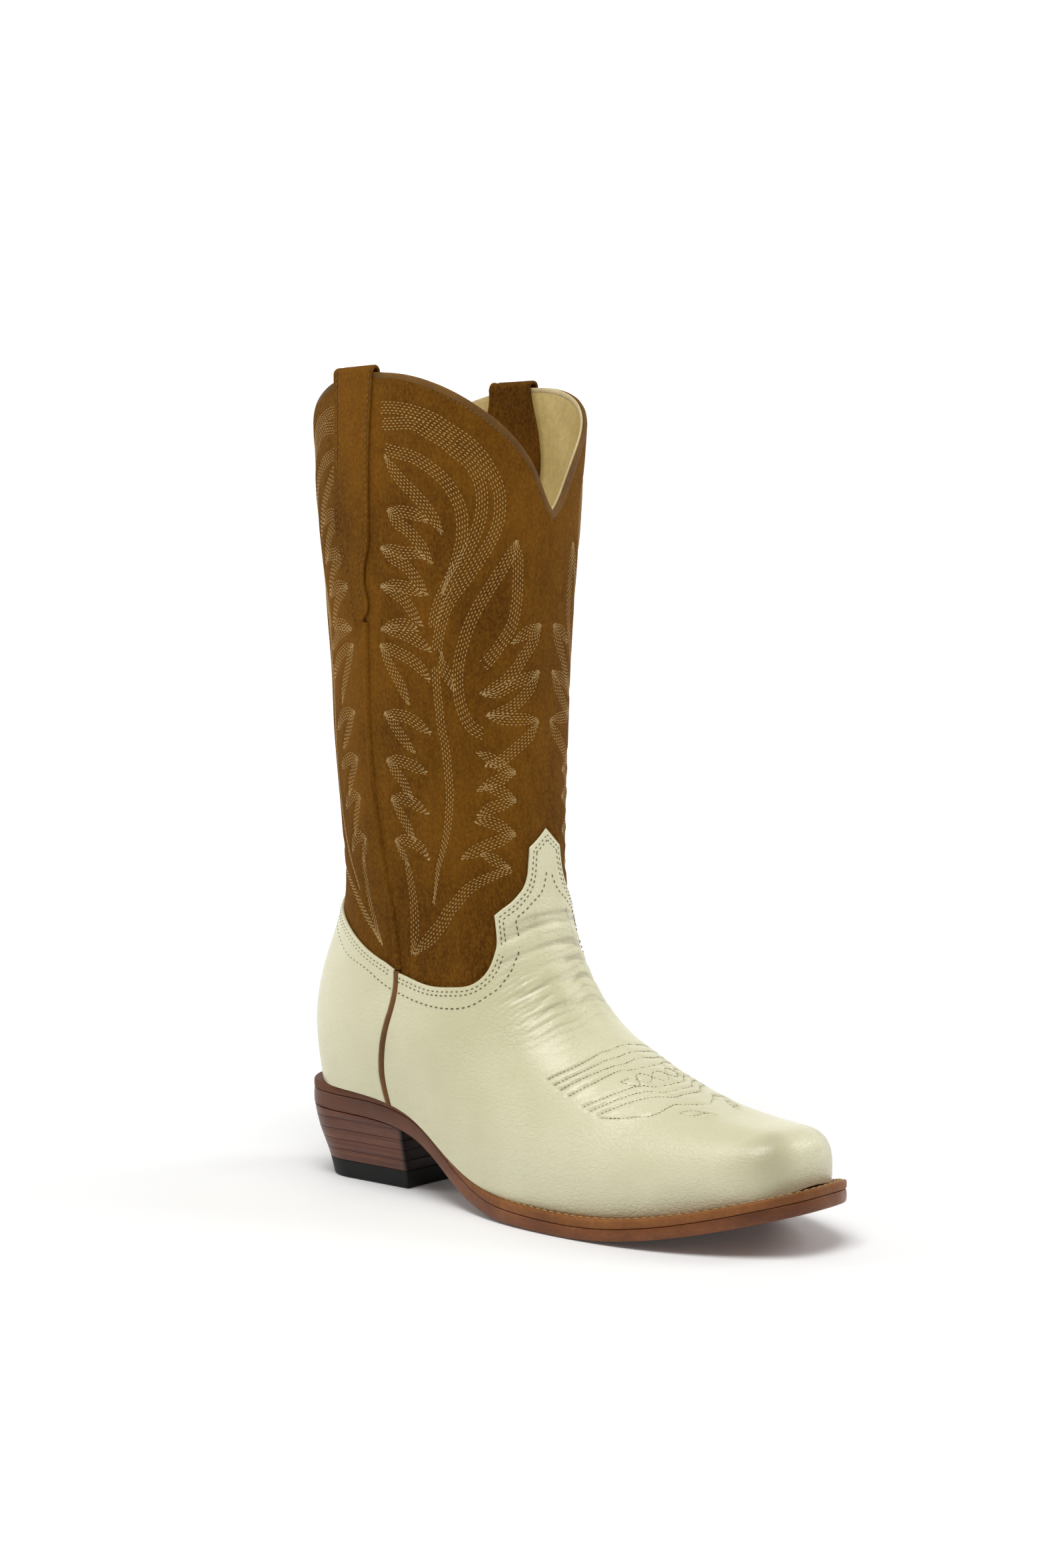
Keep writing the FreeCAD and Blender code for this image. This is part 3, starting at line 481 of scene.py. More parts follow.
def settle(target, s, v):
    """The surface coordinates under points in space, found from a nearby start."""
    s, v = np.array(s, float), np.array(v, float)
    for _ in range(7):
        p = body_at(s, v)[0]
        a = (body_at(s + 0.001, v)[0] - p) / 0.001
        b = (body_at(s, v + 0.001)[0] - p) / 0.001
        r = target - p
        aa, bb, ab = np.sum(a * a, 1), np.sum(b * b, 1), np.sum(a * b, 1)
        ra, rb = np.sum(r * a, 1), np.sum(r * b, 1)
        det = aa * bb - ab ** 2
        s = s + np.clip((ra * bb - rb * ab) / det, -0.02, 0.02)
        v = np.clip(v + np.clip((rb * aa - ra * ab) / det, -0.02, 0.02), 0, 1.01)
    return s, v


def surface_curve(points, count):
    """A curve through a few (s, v) points that is smooth in space, as (s, v) samples."""
    c = np.array(points, float)
    p = body_at(c[:, 0], c[:, 1])[0]
    d = chord(p)
    t = np.linspace(0, d[-1], count)
    return settle(through(d, p, t), *pick(t, d, c).T)


def spline2(points, count):
    """Smooth open curve through a few (u, v) points, evenly sampled by chord length."""
    p = np.array(points, float)
    d = chord(p * CHART_MM)
    return through(d, p, np.linspace(0, d[-1], count))


# ---------------------------------------------------------------- materials
def material(name):
    m = bpy.data.materials.new(name)
    m.use_nodes = True
    return m, m.node_tree, m.node_tree.nodes["Principled BSDF"]


def set_inputs(shader, **values):
    for key, value in values.items():
        shader.inputs[key.replace("_", " ")].default_value = value


def node(tree, kind, **values):
    n = tree.nodes.new(kind)
    for key, value in values.items():
        if key in n.inputs:
            n.inputs[key].default_value = value
        else:
            setattr(n, key, value)
    return n


def scaled_position(tree, scale=(1, 1, 1)):
    coords = node(tree, "ShaderNodeTexCoord")
    mapping = node(tree, "ShaderNodeMapping", Scale=scale)
    tree.links.new(coords.outputs["Object"], mapping.inputs["Vector"])
    return mapping.outputs["Vector"]


def noise_node(tree, scale, detail=3.0, rough=0.55, stretch=(1, 1, 1), distortion=0.0):
    n = node(tree, "ShaderNodeTexNoise", Scale=scale, Detail=detail, Roughness=rough, Distortion=distortion)
    tree.links.new(scaled_position(tree, stretch), n.inputs["Vector"])
    return n.outputs["Fac"]


def spread_value(tree, socket, a, b, c=0.0, d=1.0):
    n = node(tree, "ShaderNodeMapRange")
    for key, value in (("From Min", a), ("From Max", b), ("To Min", c), ("To Max", d)):
        n.inputs[key].default_value = value
    tree.links.new(socket, n.inputs["Value"])
    return n.outputs["Result"]


def mix(tree, fac, a, b):
    n = tree.nodes.new("ShaderNodeMix")
    n.data_type = "RGBA"
    for key, value in ((0, fac), (6, a), (7, b)):
        if isinstance(value, bpy.types.NodeSocket):
            tree.links.new(value, n.inputs[key])
        else:
            n.inputs[key].default_value = (*value, 1.0)
    return n.outputs[2]


def math_node(tree, op, a, b):
    n = node(tree, "ShaderNodeMath", operation=op)
    tree.links.new(a, n.inputs[0])
    if isinstance(b, bpy.types.NodeSocket):
        tree.links.new(b, n.inputs[1])
    else:
        n.inputs[1].default_value = b
    return n.outputs[0]


def attribute(tree, name):
    return node(tree, "ShaderNodeAttribute", attribute_name=name).outputs["Fac"]


def bump(tree, shader, height, strength, distance):
    n = node(tree, "ShaderNodeBump", Strength=strength, Distance=distance)
    tree.links.new(height, n.inputs["Height"])
    tree.links.new(n.outputs["Normal"], shader.inputs["Normal"])


def srgb(r, g, b):
    return tuple((c / 255.0 / 12.92) if c <= 10 else ((c / 255.0 + 0.055) / 1.055) ** 2.4 for c in (r, g, b))


def suede_material(name, base, dark, light, pale):
    m, t, sh = material(name)
    broad = spread_value(t, noise_node(t, 22, 4, 0.6, (1, 1, 0.55)), 0.38, 0.62)
    streak = spread_value(t, noise_node(t, 170, 4, 0.7, (1, 1, 0.3), 1.2), 0.40, 0.66)
    fine = spread_value(t, noise_node(t, 1100, 4, 0.75, (1, 1, 0.6)), 0.42, 0.66)
    c = mix(t, broad, srgb(*dark), srgb(*base))
    c = mix(t, math_node(t, "MULTIPLY", streak, 0.28), c, srgb(*light))
    patch = spread_value(t, noise_node(t, 55, 3, 0.6, (1, 1, 0.8), 1.0), 0.56, 0.72)
    c = mix(t, math_node(t, "MULTIPLY", patch, 0.45), c, srgb(*dark))
    c = mix(t, math_node(t, "MULTIPLY", fine, 0.30), c, srgb(*pale))
    t.links.new(c, sh.inputs["Base Color"])
    set_inputs(sh, Roughness=0.92, Specular_IOR_Level=0.06, Sheen_Weight=0.06, Sheen_Roughness=0.45,
               Sheen_Tint=(*srgb(225, 180, 110), 1.0))
    height = math_node(t, "ADD", noise_node(t, 1300, 4, 0.7, (1, 1, 0.45)),
                       math_node(t, "MULTIPLY", streak, 0.5))
    bump(t, sh, height, 0.75, 0.0005)
    return m


def calf_material():
    m, t, sh = material("cream_calf")
    broad = spread_value(t, noise_node(t, 16, 3, 0.5), 0.35, 0.65)
    c = mix(t, broad, srgb(205, 200, 162), srgb(220, 216, 182))
    grain = noise_node(t, 700, 5, 0.62, (1, 1, 1), 0.7)
    c = mix(t, spread_value(t, grain, 0.44, 0.34, 0.0, 0.10), c, srgb(165, 157, 118))
    # painted shade: the calf is darker where its relief sinks into folds, wrinkles and thread grooves
    relief_shade = spread_value(t, attribute(t, "relief_shade"), -0.12, -0.5, 0.0, 0.6)
    c = mix(t, relief_shade, c, srgb(150, 142, 108))
    t.links.new(c, sh.inputs["Base Color"])
    creases = node(t, "ShaderNodeTexVoronoi", Scale=430.0, Randomness=1.0)
    creases.feature = "DISTANCE_TO_EDGE"
    warp = node(t, "ShaderNodeVectorMath", operation="ADD")
    t.links.new(scaled_position(t, (0.75, 1, 1.25)), warp.inputs[0])
    bend = node(t, "ShaderNodeTexNoise", Scale=160.0, Detail=2.0)
    t.links.new(scaled_position(t), bend.inputs["Vector"])
    shrink = node(t, "ShaderNodeVectorMath", operation="SCALE", Scale=0.004)
    t.links.new(bend.outputs["Color"], shrink.inputs[0])
    t.links.new(shrink.outputs[0], warp.inputs[1])
    t.links.new(warp.outputs[0], creases.inputs["Vector"])
    # the grain comes and goes over the leather
    zone = spread_value(t, noise_node(t, 30, 2, 0.5), 0.35, 0.62, 0.35, 1.0)
    cell = spread_value(t, creases.outputs["Distance"], 0.0, 0.16)
    height = math_node(t, "ADD", math_node(t, "MULTIPLY", cell, 0.55), math_node(t, "MULTIPLY", grain, 0.9))
    height = math_node(t, "MULTIPLY", height, zone)
    bump(t, sh, height, 0.5, 0.0004)
    rough = spread_value(t, noise_node(t, 260, 4, 0.6), 0.3, 0.7, 0.33, 0.46)
    t.links.new(rough, sh.inputs["Roughness"])
    set_inputs(sh, Specular_IOR_Level=0.5, Coat_Weight=0.25, Coat_Roughness=0.2)
    return m


def leather_material(name, base, dark, rough=0.5, grain=600.0, depth=0.25, coat=0.0, stretch=(1, 1, 1),
                     burnish=None):
    m, t, sh = material(name)
    broad = spread_value(t, noise_node(t, 30.0, 4, 0.6, stretch), 0.32, 0.66)
    c = mix(t, broad, srgb(*dark), srgb(*base))
    fine = spread_value(t, noise_node(t, grain, 4, 0.65, stretch), 0.35, 0.65, 0.0, 0.3)
    c = mix(t, fine, c, srgb(*[x * 0.72 for x in dark]))
    if burnish:
        # darker behind the waist, like the heel stack
        split = node(t, "ShaderNodeSeparateXYZ")
        t.links.new(scaled_position(t), split.inputs[0])
        c = mix(t, spread_value(t, split.outputs["X"], -0.02, -0.075, 0.0, 0.85), c, srgb(*burnish))
    t.links.new(c, sh.inputs["Base Color"])
    set_inputs(sh, Specular_IOR_Level=0.28)
    r = spread_value(t, noise_node(t, grain * 0.4, 3, 0.6), 0.3, 0.7, rough - 0.08, rough + 0.1)
    t.links.new(r, sh.inputs["Roughness"])
    bump(t, sh, noise_node(t, grain, 5, 0.7, stretch), depth, 0.0004)
    if coat:
        set_inputs(sh, Coat_Weight=coat, Coat_Roughness=0.25)
    return m


def heel_material():
    """Stacked leather: thin level lines of glue and fibre, with painted shade that darkens the breast face
    almost to black.
    """
    m, t, sh = material("heel_stack")
    lines = node(t, "ShaderNodeTexNoise", Scale=1.0, Detail=5.0, Roughness=0.75)
    t.links.new(scaled_position(t, (14, 14, 1100)), lines.inputs["Vector"])
    stripe = spread_value(t, lines.outputs["Fac"], 0.36, 0.66)
    c = mix(t, stripe, srgb(66, 32, 20), srgb(124, 72, 46))
    blotch = spread_value(t, noise_node(t, 70, 4, 0.6), 0.4, 0.7, 0.0, 0.5)
    c = mix(t, blotch, c, srgb(84, 42, 28))
    # painted shade: the breast face of each lift is darkened almost to black
    c = mix(t, math_node(t, "MULTIPLY", attribute(t, "breast"), 0.95), c, srgb(20, 11, 8))
    t.links.new(c, sh.inputs["Base Color"])
    set_inputs(sh, Roughness=0.42, Specular_IOR_Level=0.3, Coat_Weight=0.12, Coat_Roughness=0.3)
    bump(t, sh, math_node(t, "ADD", stripe, noise_node(t, 900, 3, 0.6)), 0.3, 0.0003)
    return m


def plain_material(name, base, rough, metallic=0.0, grain=900.0, depth=0.15):
    m, t, sh = material(name)
    v = spread_value(t, noise_node(t, grain, 3, 0.6), 0.3, 0.7, 0.0, 0.35)
    c = mix(t, v, srgb(*base), srgb(*[x * 0.7 for x in base]))
    t.links.new(c, sh.inputs["Base Color"])
    set_inputs(sh, Metallic=metallic, Roughness=rough)
    if not metallic:
        set_inputs(sh, Specular_IOR_Level=0.25)
    bump(t, sh, noise_node(t, grain, 4, 0.6), depth, 0.0003)
    return m


SUEDE_MAT = suede_material("tan_suede", (104, 64, 13), (72, 40, 6), (124, 80, 18), (154, 110, 36))
CALF_MAT = calf_material()
LINING_MAT = leather_material("beige_lining", (222, 198, 132), (200, 174, 106), 0.62, 420, 0.25)
TRIM_MAT = leather_material("cream_trim", (214, 196, 150), (190, 168, 118), 0.5, 500, 0.2)
BIND_MAT = leather_material("brown_binding", (118, 82, 30), (84, 54, 14), 0.72, 700, 0.35)
PIPING_MAT = leather_material("brown_piping", (118, 78, 30), (84, 52, 16), 0.6, 500, 0.35)
WELT_MAT = leather_material("welt_leather", (150, 94, 46), (110, 64, 28), 0.55, 500, 0.4,
                            burnish=(92, 52, 32))
SOLE_MAT = leather_material("sole_leather", (136, 80, 38), (98, 52, 24), 0.45, 450, 0.35, 0.12, (1, 1, 2.5),
                            (92, 52, 34))
HEEL_MAT = heel_material()
RUBBER_MAT = plain_material("black_rubber", (22, 22, 21), 0.6)
INSOLE_MAT = leather_material("insole_leather", (196, 160, 112), (170, 132, 86), 0.6)
BOARD_MAT = leather_material("leather_board", (180, 146, 104), (150, 118, 80), 0.7)
CORK_MAT = plain_material("ground_cork", (168, 122, 80), 0.85, 0.0, 350, 0.6)
STEEL_MAT = plain_material("spring_steel", (150, 152, 156), 0.35, 1.0, 250, 0.05)
BRASS_MAT = plain_material("brass_nail", (196, 160, 90), 0.35, 1.0, 400, 0.05)
PEG_MAT = plain_material("peg_wood", (205, 178, 130), 0.6, 0.0, 300, 0.3)
PALE_THREAD = plain_material("pale_thread", (190, 160, 106), 0.6, 0.0, 2500, 0.3)
DARK_THREAD = plain_material("dark_thread", (112, 94, 66), 0.65, 0.0, 2500, 0.3)
STRAP_THREAD = plain_material("strap_thread", (122, 86, 38), 0.7, 0.0, 2500, 0.3)
TAN_THREAD = plain_material("tan_thread", (176, 140, 88), 0.65, 0.0, 2500, 0.3)


# ---------------------------------------------------------------- stitch lines of the shaft
# Lines on the outer half of the front panel. The inner half and the back panel mirror them.
BANDS = [
    [(.360, .951), (.450, .949), (.519, .944), (.577, .937), (.619, .929), (.662, .921), (.707, .910),
     (.738, .899), (.767, .885), (.789, .870), (.795, .853), (.789, .837), (.768, .821), (.738, .806),
     (.704, .791), (.667, .777), (.630, .762), (.604, .745), (.590, .729), (.580, .711)],
    [(.366, .935), (.450, .935), (.500, .934), (.556, .925), (.600, .918), (.641, .908), (.678, .900),
     (.709, .889), (.728, .876), (.736, .861), (.732, .844), (.717, .828), (.696, .814), (.670, .801),
     (.643, .790), (.604, .769), (.577, .749), (.568, .735)],
    [(.379, .911), (.419, .908), (.450, .906), (.500, .902), (.550, .894), (.588, .886), (.622, .876),
     (.648, .864), (.667, .851), (.673, .835), (.670, .820), (.656, .806), (.638, .794), (.619, .781),
     (.600, .766)],
    [(.577, .700), (.582, .676), (.590, .658), (.598, .638), (.609, .625), (.619, .601), (.625, .577),
     (.619, .555), (.606, .536), (.582, .516), (.551, .497), (.519, .480), (.487, .460), (.461, .441)],
    [(.857, .823), (.833, .806), (.799, .790), (.762, .773), (.730, .758), (.704, .743), (.683, .726),
     (.667, .709), (.659, .691), (.662, .673), (.678, .655), (.709, .640), (.76, .632)],
    [(.857, .823), (.863, .800), (.865, .780), (.863, .762), (.855, .747), (.833, .731), (.804, .719),
     (.773, .707), (.744, .699)],
    [(.849, .500), (.804, .494), (.752, .487), (.699, .480), (.651, .472), (.604, .4615), (.556, .448),
     (.514, .435), (.482, .420), (.450, .406), (.419, .390), (.387, .373), (.360, .357), (.339, .3425)],
    [(.403, .504), (.398, .4846), (.392, .463), (.386, .441), (.377, .419), (.368, .397), (.355, .375),
     (.342, .356), (.331, .338)],
]
LEAVES = [
    [[(.379, .905), (.434, .885), (.482, .872), (.524, .861), (.561, .848), (.609, .826)]],
    [[(.387, .853), (.45, .85), (.5, .847), (.56, .838)],
     [(.387, .853), (.419, .841), (.461, .834), (.5, .825), (.55, .806), (.572, .796)]],
    [[(.345, .816), (.4, .813), (.45, .81), (.5, .809), (.55, .803)],
     [(.345, .816), (.419, .803), (.461, .797), (.493, .788), (.524, .777), (.553, .766)]],
    [[(.334, .778), (.4, .778), (.45, .777), (.5, .772), (.54, .767)],
     [(.334, .778), (.4, .772), (.434, .767), (.471, .758), (.5, .747), (.535, .737)]],
    [[(.329, .735), (.4, .739), (.45, .74), (.52, .733)],
     [(.329, .735), (.4, .734), (.471, .728), (.524, .721), (.572, .712)]],
    [[(.323, .721), (.4, .714), (.45, .709), (.5, .701), (.535, .692), (.561, .682)],
     [(.323, .721), (.35, .71), (.382, .697), (.413, .685), (.445, .671), (.466, .658)]],
    [[(.329, .653), (.4, .651), (.46, .648), (.52, .639), (.565, .632)],
     [(.329, .653), (.365, .646), (.403, .635), (.45, .622), (.49, .612)]],
    [[(.331, .607), (.4, .6055), (.471, .601), (.545, .593)],
     [(.331, .607), (.366, .5975), (.403, .589), (.44, .576), (.47, .566)]],
    [[(.339, .568), (.419, .568), (.5, .559), (.54, .552)],
     [(.339, .568), (.382, .556), (.419, .542), (.44, .534), (.465, .524)]],
    [[(.339, .527), (.419, .526), (.5, .516), (.524, .505)],
     [(.339, .527), (.366, .517), (.392, .508), (.41, .498)]],
    [[(.968, .741), (.915, .734), (.873, .726), (.841, .72)],
     [(.968, .741), (.942, .726), (.91, .714), (.873, .699), (.836, .687), (.789, .678), (.73, .671)]],
    [[(.968, .695), (.915, .688), (.857, .682), (.8, .674), (.74, .671)],
     [(.968, .695), (.937, .681), (.894, .668), (.847, .658), (.799, .653), (.752, .652)]],
    [[(.971, .646), (.894, .647), (.815, .648), (.752, .652)],
     [(.971, .646), (.942, .635), (.894, .623), (.847, .613), (.804, .605), (.75, .602)]],
    [[(.876, .595), (.82, .601), (.767, .61), (.72, .616)],
     [(.876, .595), (.831, .59), (.778, .584), (.72, .576)]],
    [[(.878, .567), (.841, .573), (.799, .578), (.74, .581)],
     [(.878, .567), (.831, .564), (.778, .56), (.715, .549)]],
    [[(.873, .534), (.82, .541), (.767, .5465), (.709, .545)],
     [(.873, .534), (.82, .529), (.767, .524), (.709, .517), (.651, .509)]],
    [[(.849, .5), (.815, .5045), (.778, .51), (.725, .516)]],
    [[(.6, .715), (.605, .7), (.625, .688), (.65, .672)]],
]
ROW_GAP = 1.12          # mm between rows of thread
THREAD = 0.165


def band_rows(points, start_taper, end_taper, rows=5, taper=9.0):
    """Parallel rows of a band, pinched together at tapered ends."""
    line = spline2(points, 90)
    q = line * CHART_MM
    t = unit(np.gradient(q, axis=0))
    n = np.stack([-t[:, 1], t[:, 0]], 1)
    d = chord(q)
    w = np.ones(len(d))
    if start_taper:
        w = np.minimum(w, 0.22 + 0.78 * smooth(d / 9.0))
    if end_taper:
        w = np.minimum(w, 0.22 + 0.78 * smooth((d[-1] - d) / taper))
    out = []
    for k in range(rows):
        shift = (k - (rows - 1) / 2) * ROW_GAP * w
        out.append((q + n * shift[:, None]) / CHART_MM)
    return out


def shaft_lines():
    lines = []
    for i, band in enumerate(BANDS):
        lines += band_rows(band, i in (4, 5), i in (2, 3, 6, 7), 4 if i in (3, 7) else 5,
                           60.0 if i == 3 else 25.0)
    for leaf in LEAVES:
        for side in leaf:
            lines += band_rows(side, True, True)
    return lines


SHAFT_LINES = shaft_lines()


def panel_lines(back, inner):
    """The pattern's lines on one quarter of the shaft, cut where the vamp, counter or strap covers them."""
    out = []
    for line in SHAFT_LINES:
        u, v = line[:, 0], line[:, 1]
        if back:
            u = (1 - u) / (1 - SEAM) * SEAM * 0.93
        s = (-u if inner else u) if back else (2 - u if inner else u)
        room = cover_top(s) + 0.012
        open_ = (v > room) & (v < shaft_top(s) - 0.016) & (np.abs(fold(s) - SEAM) > 0.012)
        strap = (np.abs(fold(s) - strap_middle(v)) < strap_half(v) + 0.004) & (v > PIPING_TOP)
        keep = open_ & ~strap
        cut = np.flatnonzero(np.diff(keep.astype(int)))
        for part in np.split(np.arange(len(s)), cut + 1):
            if len(part) > 3 and keep[part[0]]:
                out.append((s[part], v[part]))
    return out


RELIEF_S, RELIEF_V = 0.0025, 0.0012


def blur(a, sigma_s, sigma_v):
    for axis, sigma in ((0, sigma_s), (1, sigma_v)):
        reach = int(3 * sigma) + 1
        k = np.exp(-0.5 * (np.arange(-reach, reach + 1) / sigma) ** 2)
        k /= k.sum()
        out = 0.0
        for i, w in enumerate(k):
            out = out + w * np.roll(a, i - reach, axis)
        a = out
    return a


QUARTERS = {(back, inner): panel_lines(back, inner) for back in (False, True) for inner in (False, True)}


def line_map(lines, sigma_s, sigma_v, gain, most):
    """How near each spot is to one of the lines, on an even (s, v) grid."""
    grid = np.zeros((int(2.0 / RELIEF_S), int(1.02 / RELIEF_V)))
    for s, v in lines:
        k = np.linspace(0, len(s) - 1, len(s) * 8)
        si = np.interp(k, np.arange(len(s)), s)
        vi = np.interp(k, np.arange(len(s)), v)
        i = (np.mod(si + 1, 2) / RELIEF_S).astype(int) % grid.shape[0]
        j = np.clip((vi / RELIEF_V).astype(int), 0, grid.shape[1] - 1)
        grid[i, j] = 1.0
    return np.clip(blur(grid, sigma_s, sigma_v) * gain, 0, most)


PRESS = line_map([line for lines in QUARTERS.values() for line in lines], 1.6, 1.5, 2.2, 1.0)


def read_map(grid, s, v):
    fs = np.mod(s + 1, 2) / RELIEF_S
    fv = np.clip(v / RELIEF_V, 0, grid.shape[1] - 1.01)
    i, j = np.floor(fs).astype(int), np.floor(fv).astype(int)
    a, b = fs - i, fv - j
    i0, i1 = i % grid.shape[0], (i + 1) % grid.shape[0]
    return ((grid[i0, j] * (1 - b) + grid[i0, j + 1] * b) * (1 - a)
            + (grid[i1, j] * (1 - b) + grid[i1, j + 1] * b) * a)


def shaft_relief(s, v, p):
    """Soft waves of the suede, drawn in along the stitching."""
    x, y, z = np.moveaxis(p, -1, 0)
    wave = 0.55 * noise(x / 17, y / 17, z / 23, 11, 2) + 0.16 * noise(x / 4, y / 4, z / 6, 21, 2)
    return wave - 0.42 * read_map(PRESS, s, v) + 0.15


# ---------------------------------------------------------------- relief of the vamp and counter
def even_terms(x):
    return np.stack([x ** 0, x ** 2, x ** 3, x ** 4], 1)


def fair(points):
    """The same line with its small wavers ironed out, level where it crosses the middle."""
    u, v = np.array(points).T
    x = (u - 1.0) / 0.35
    fit = np.linalg.lstsq(even_terms(x), v, rcond=None)[0]
    x = np.linspace(x[0], 0.0, 14)
    return list(zip(1.0 + 0.35 * x, even_terms(x) @ fit))


def bug_lines():
    """Raised double curves of thread across the toe box, drawn on the outer half and mirrored."""
    lines = [
        [(.652, .172), (.679, .187), (.712, .199), (.755, .211), (.80, .227), (.85, .241), (.90, .253),
         (.952, .257), (1, .257)],
        [(.658, .160), (.688, .177), (.726, .192), (.765, .203), (.80, .215), (.85, .230), (.90, .243),
         (.952, .247), (1, .246)],
        [(.664, .150), (.697, .170), (.740, .186), (.80, .203), (.85, .220), (.90, .233), (.952, .238),
         (1, .237)],
        [(.671, .138), (.702, .157), (.740, .173), (.80, .194), (.85, .211), (.90, .224), (.943, .228),
         (1, .224)],
        [(.680, .116), (.712, .134), (.76, .153), (.80, .168), (.85, .185), (.90, .196), (.952, .200),
         (1, .198)],
        [(.684, .107), (.72, .127), (.76, .143), (.80, .158), (.85, .175), (.90, .187), (.952, .191),
         (1, .190)],
        [(.688, .099), (.72, .116), (.76, .133), (.80, .148), (.85, .165), (.90, .178), (.952, .183),
         (1, .182)],
    ]
    # the flourish in front of the rows: two long loops and a short one
    lines.append([(.695, .094), (.72, .090), (.745, .095), (.757, .101), (.775, .112), (.80, .126),
                  (.84, .146), (.88, .157), (.94, .163), (1.0, .165)])
    lines.append([(.82, .121), (.84, .122), (.865, .131), (.89, .141), (.915, .144), (.925, .1425)])
    lines.append([(.82, .121), (.835, .129), (.86, .139), (.89, .1455), (.92, .144)])
    # a low lattice of two crossing waves between the row groups
    for sign in (-1, 1):
        lines.append([(u, .1815 + .031 * smooth((u - .79) / .15)
                       + sign * .0065 * math.sin((u - .80) / .20 * 2.6 * math.pi))
                      for u in np.linspace(.80, 1.0, 16)])
    curves = [surface_curve(fair(line) if i < 8 else line, 80) for i, line in enumerate(lines)]
    return [(flipped(s, flip), v) for s, v in curves for flip in (False, True)]


BUG = bug_lines()
BUG_GROOVE = line_map(BUG, 0.9, 0.9, 2.3, 1.2)
BUG_SWELL = line_map(BUG, 5.0, 4.0, 3.0, 1.2)
# the larger folds across the instep: v where they cross the middle, depth in mm, half width in mm
FOLDS = [(.424, .42, 1.3), (.411, .6, 1.5), (.401, -.3, 1.6), (.385, .46, 1.3), (.366, .36, 1.2),
         (.345, .38, 1.1), (.318, .34, 1.1)]
THROAT_V, BALL_V = 0.437, 0.268         # where the folds start and end along the middle


def down_instep(p):
    """Distance in mm from the throat towards the ball, along the slope of the instep."""
    return (p[..., 0] - 120.0) * 0.67 - (p[..., 2] - 140.0) * 0.74


def down_middle(v):
    return float(down_instep(body_at(1.0, v)[0]))


def vamp_relief(s, v, p):
    x, y, z = np.moveaxis(p, -1, 0)
    across = np.abs(s - 1.0)
    out = 0.28 * noise(x / 19, y / 17, z / 19, 31, 2)
    q = down_instep(p)
    q_top, q_end = down_middle(THROAT_V), down_middle(BALL_V)
    zone = smooth((36.0 - np.abs(y)) / 16.0) * smooth((q - q_top) / 3.0) * smooth((q_end - q) / 14.0)
    zone = zone * smooth((THROAT_V - v) / 0.015)
    wander = 2.2 * noise(x / 15, y / 12, z / 17, 41, 3)
    for middle, depth, width in FOLDS:
        line = q - down_middle(middle) + wander + 0.0022 * y ** 2
        fade = zone * np.clip(0.62 + 0.75 * noise(x / 30, y / 14, z / 30, 43 + int(middle * 1000), 2), 0, 1.2)
        out = out - depth * fade * np.exp(-0.5 * (line / width) ** 2)
        out = out + 0.5 * depth * fade * np.exp(-0.5 * ((line - 2.1 * width) / (1.4 * width)) ** 2)
    # many small wrinkles between them
    for pitch, size, seed in ((4.3, 0.32, 201), (2.3, 0.24, 211)):
        phase = q / pitch + 1.6 * noise(x / 13, y / 11, z / 15, seed, 3) + 0.0006 * y ** 2
        wave = (0.5 + 0.5 * np.sin(2 * math.pi * phase)) ** 2.2
        uneven = np.clip(0.5 + 1.1 * noise(x / 10, y / 8, z / 10, seed + 5, 2), 0, 1.2)
        out = out - size * wave * zone * uneven
    # flex creases fan out where the ball of the foot bends
    bend = smooth((0.17 - np.abs(v - 0.22)) / 0.12)
    bend = bend * smooth((across - 0.16) / 0.12) * smooth((0.52 - across) / 0.2)
    tilt = v / 0.011 + 11.0 * across + 1.7 * noise(x / 9, y / 9, z / 9, 55, 3)
    fine = (0.5 + 0.5 * np.sin(2 * math.pi * tilt)) ** 2
    fine = fine * np.clip(0.4 + noise(x / 7, y / 7, z / 7, 57, 2), 0, 1)
    out = out + 0.10 * bend * fine
    out = out + 0.45 * np.minimum(read_map(BUG_SWELL, s, v), 1) - 0.55 * read_map(BUG_GROOVE, s, v)
    # pinched shoulders of the toe box
    for side in (-1, 1):
        out = out - 0.35 * np.exp(-0.5 * (((s - 1 - side * 0.058) / 0.02) ** 2 + ((v - 0.052) / 0.022) ** 2))
    return out


def counter_relief(s, v, p):
    x, y, z = np.moveaxis(p, -1, 0)
    return 0.22 * noise(x / 18, y / 18, z / 18, 61, 2) + 0.03 * noise(x / 3, y / 3, z / 3, 71, 2)


def lining_relief(s, v, p):
    x, y, z = np.moveaxis(p, -1, 0)
    return -0.35 * np.abs(noise(x / 14, y / 14, z / 22, 81, 3))


# ---------------------------------------------------------------- the upper
CORNERS = (EAR, SHOULDER, 1.0, 2 - SHOULDER, 2 - EAR)


def tucked(s):
    return cover_top(s) - TUCK


def lining_low(s):
    return tucked(s) - 0.003


def panel_top(s):
    return shaft_top(s) - BEAD * 0.5


def feather_line(s):
    return np.zeros_like(s)


def panel_relief(s, v, p):
    """The shaft's relief, pressed flat where the vamp and counter lie over it."""
    relief = shaft_relief(s, v, p)
    return np.where(v < cover_top(s) + 0.006, np.minimum(relief, -0.05), relief)


def fading(relief):
    """The same relief, level at the upper and lower edges of the vamp or counter."""
    def faded(s, v, p):
        return relief(s, v, p) * smooth((cover_top(s) - v) / 0.02) * smooth(v / 0.02)

    return faded


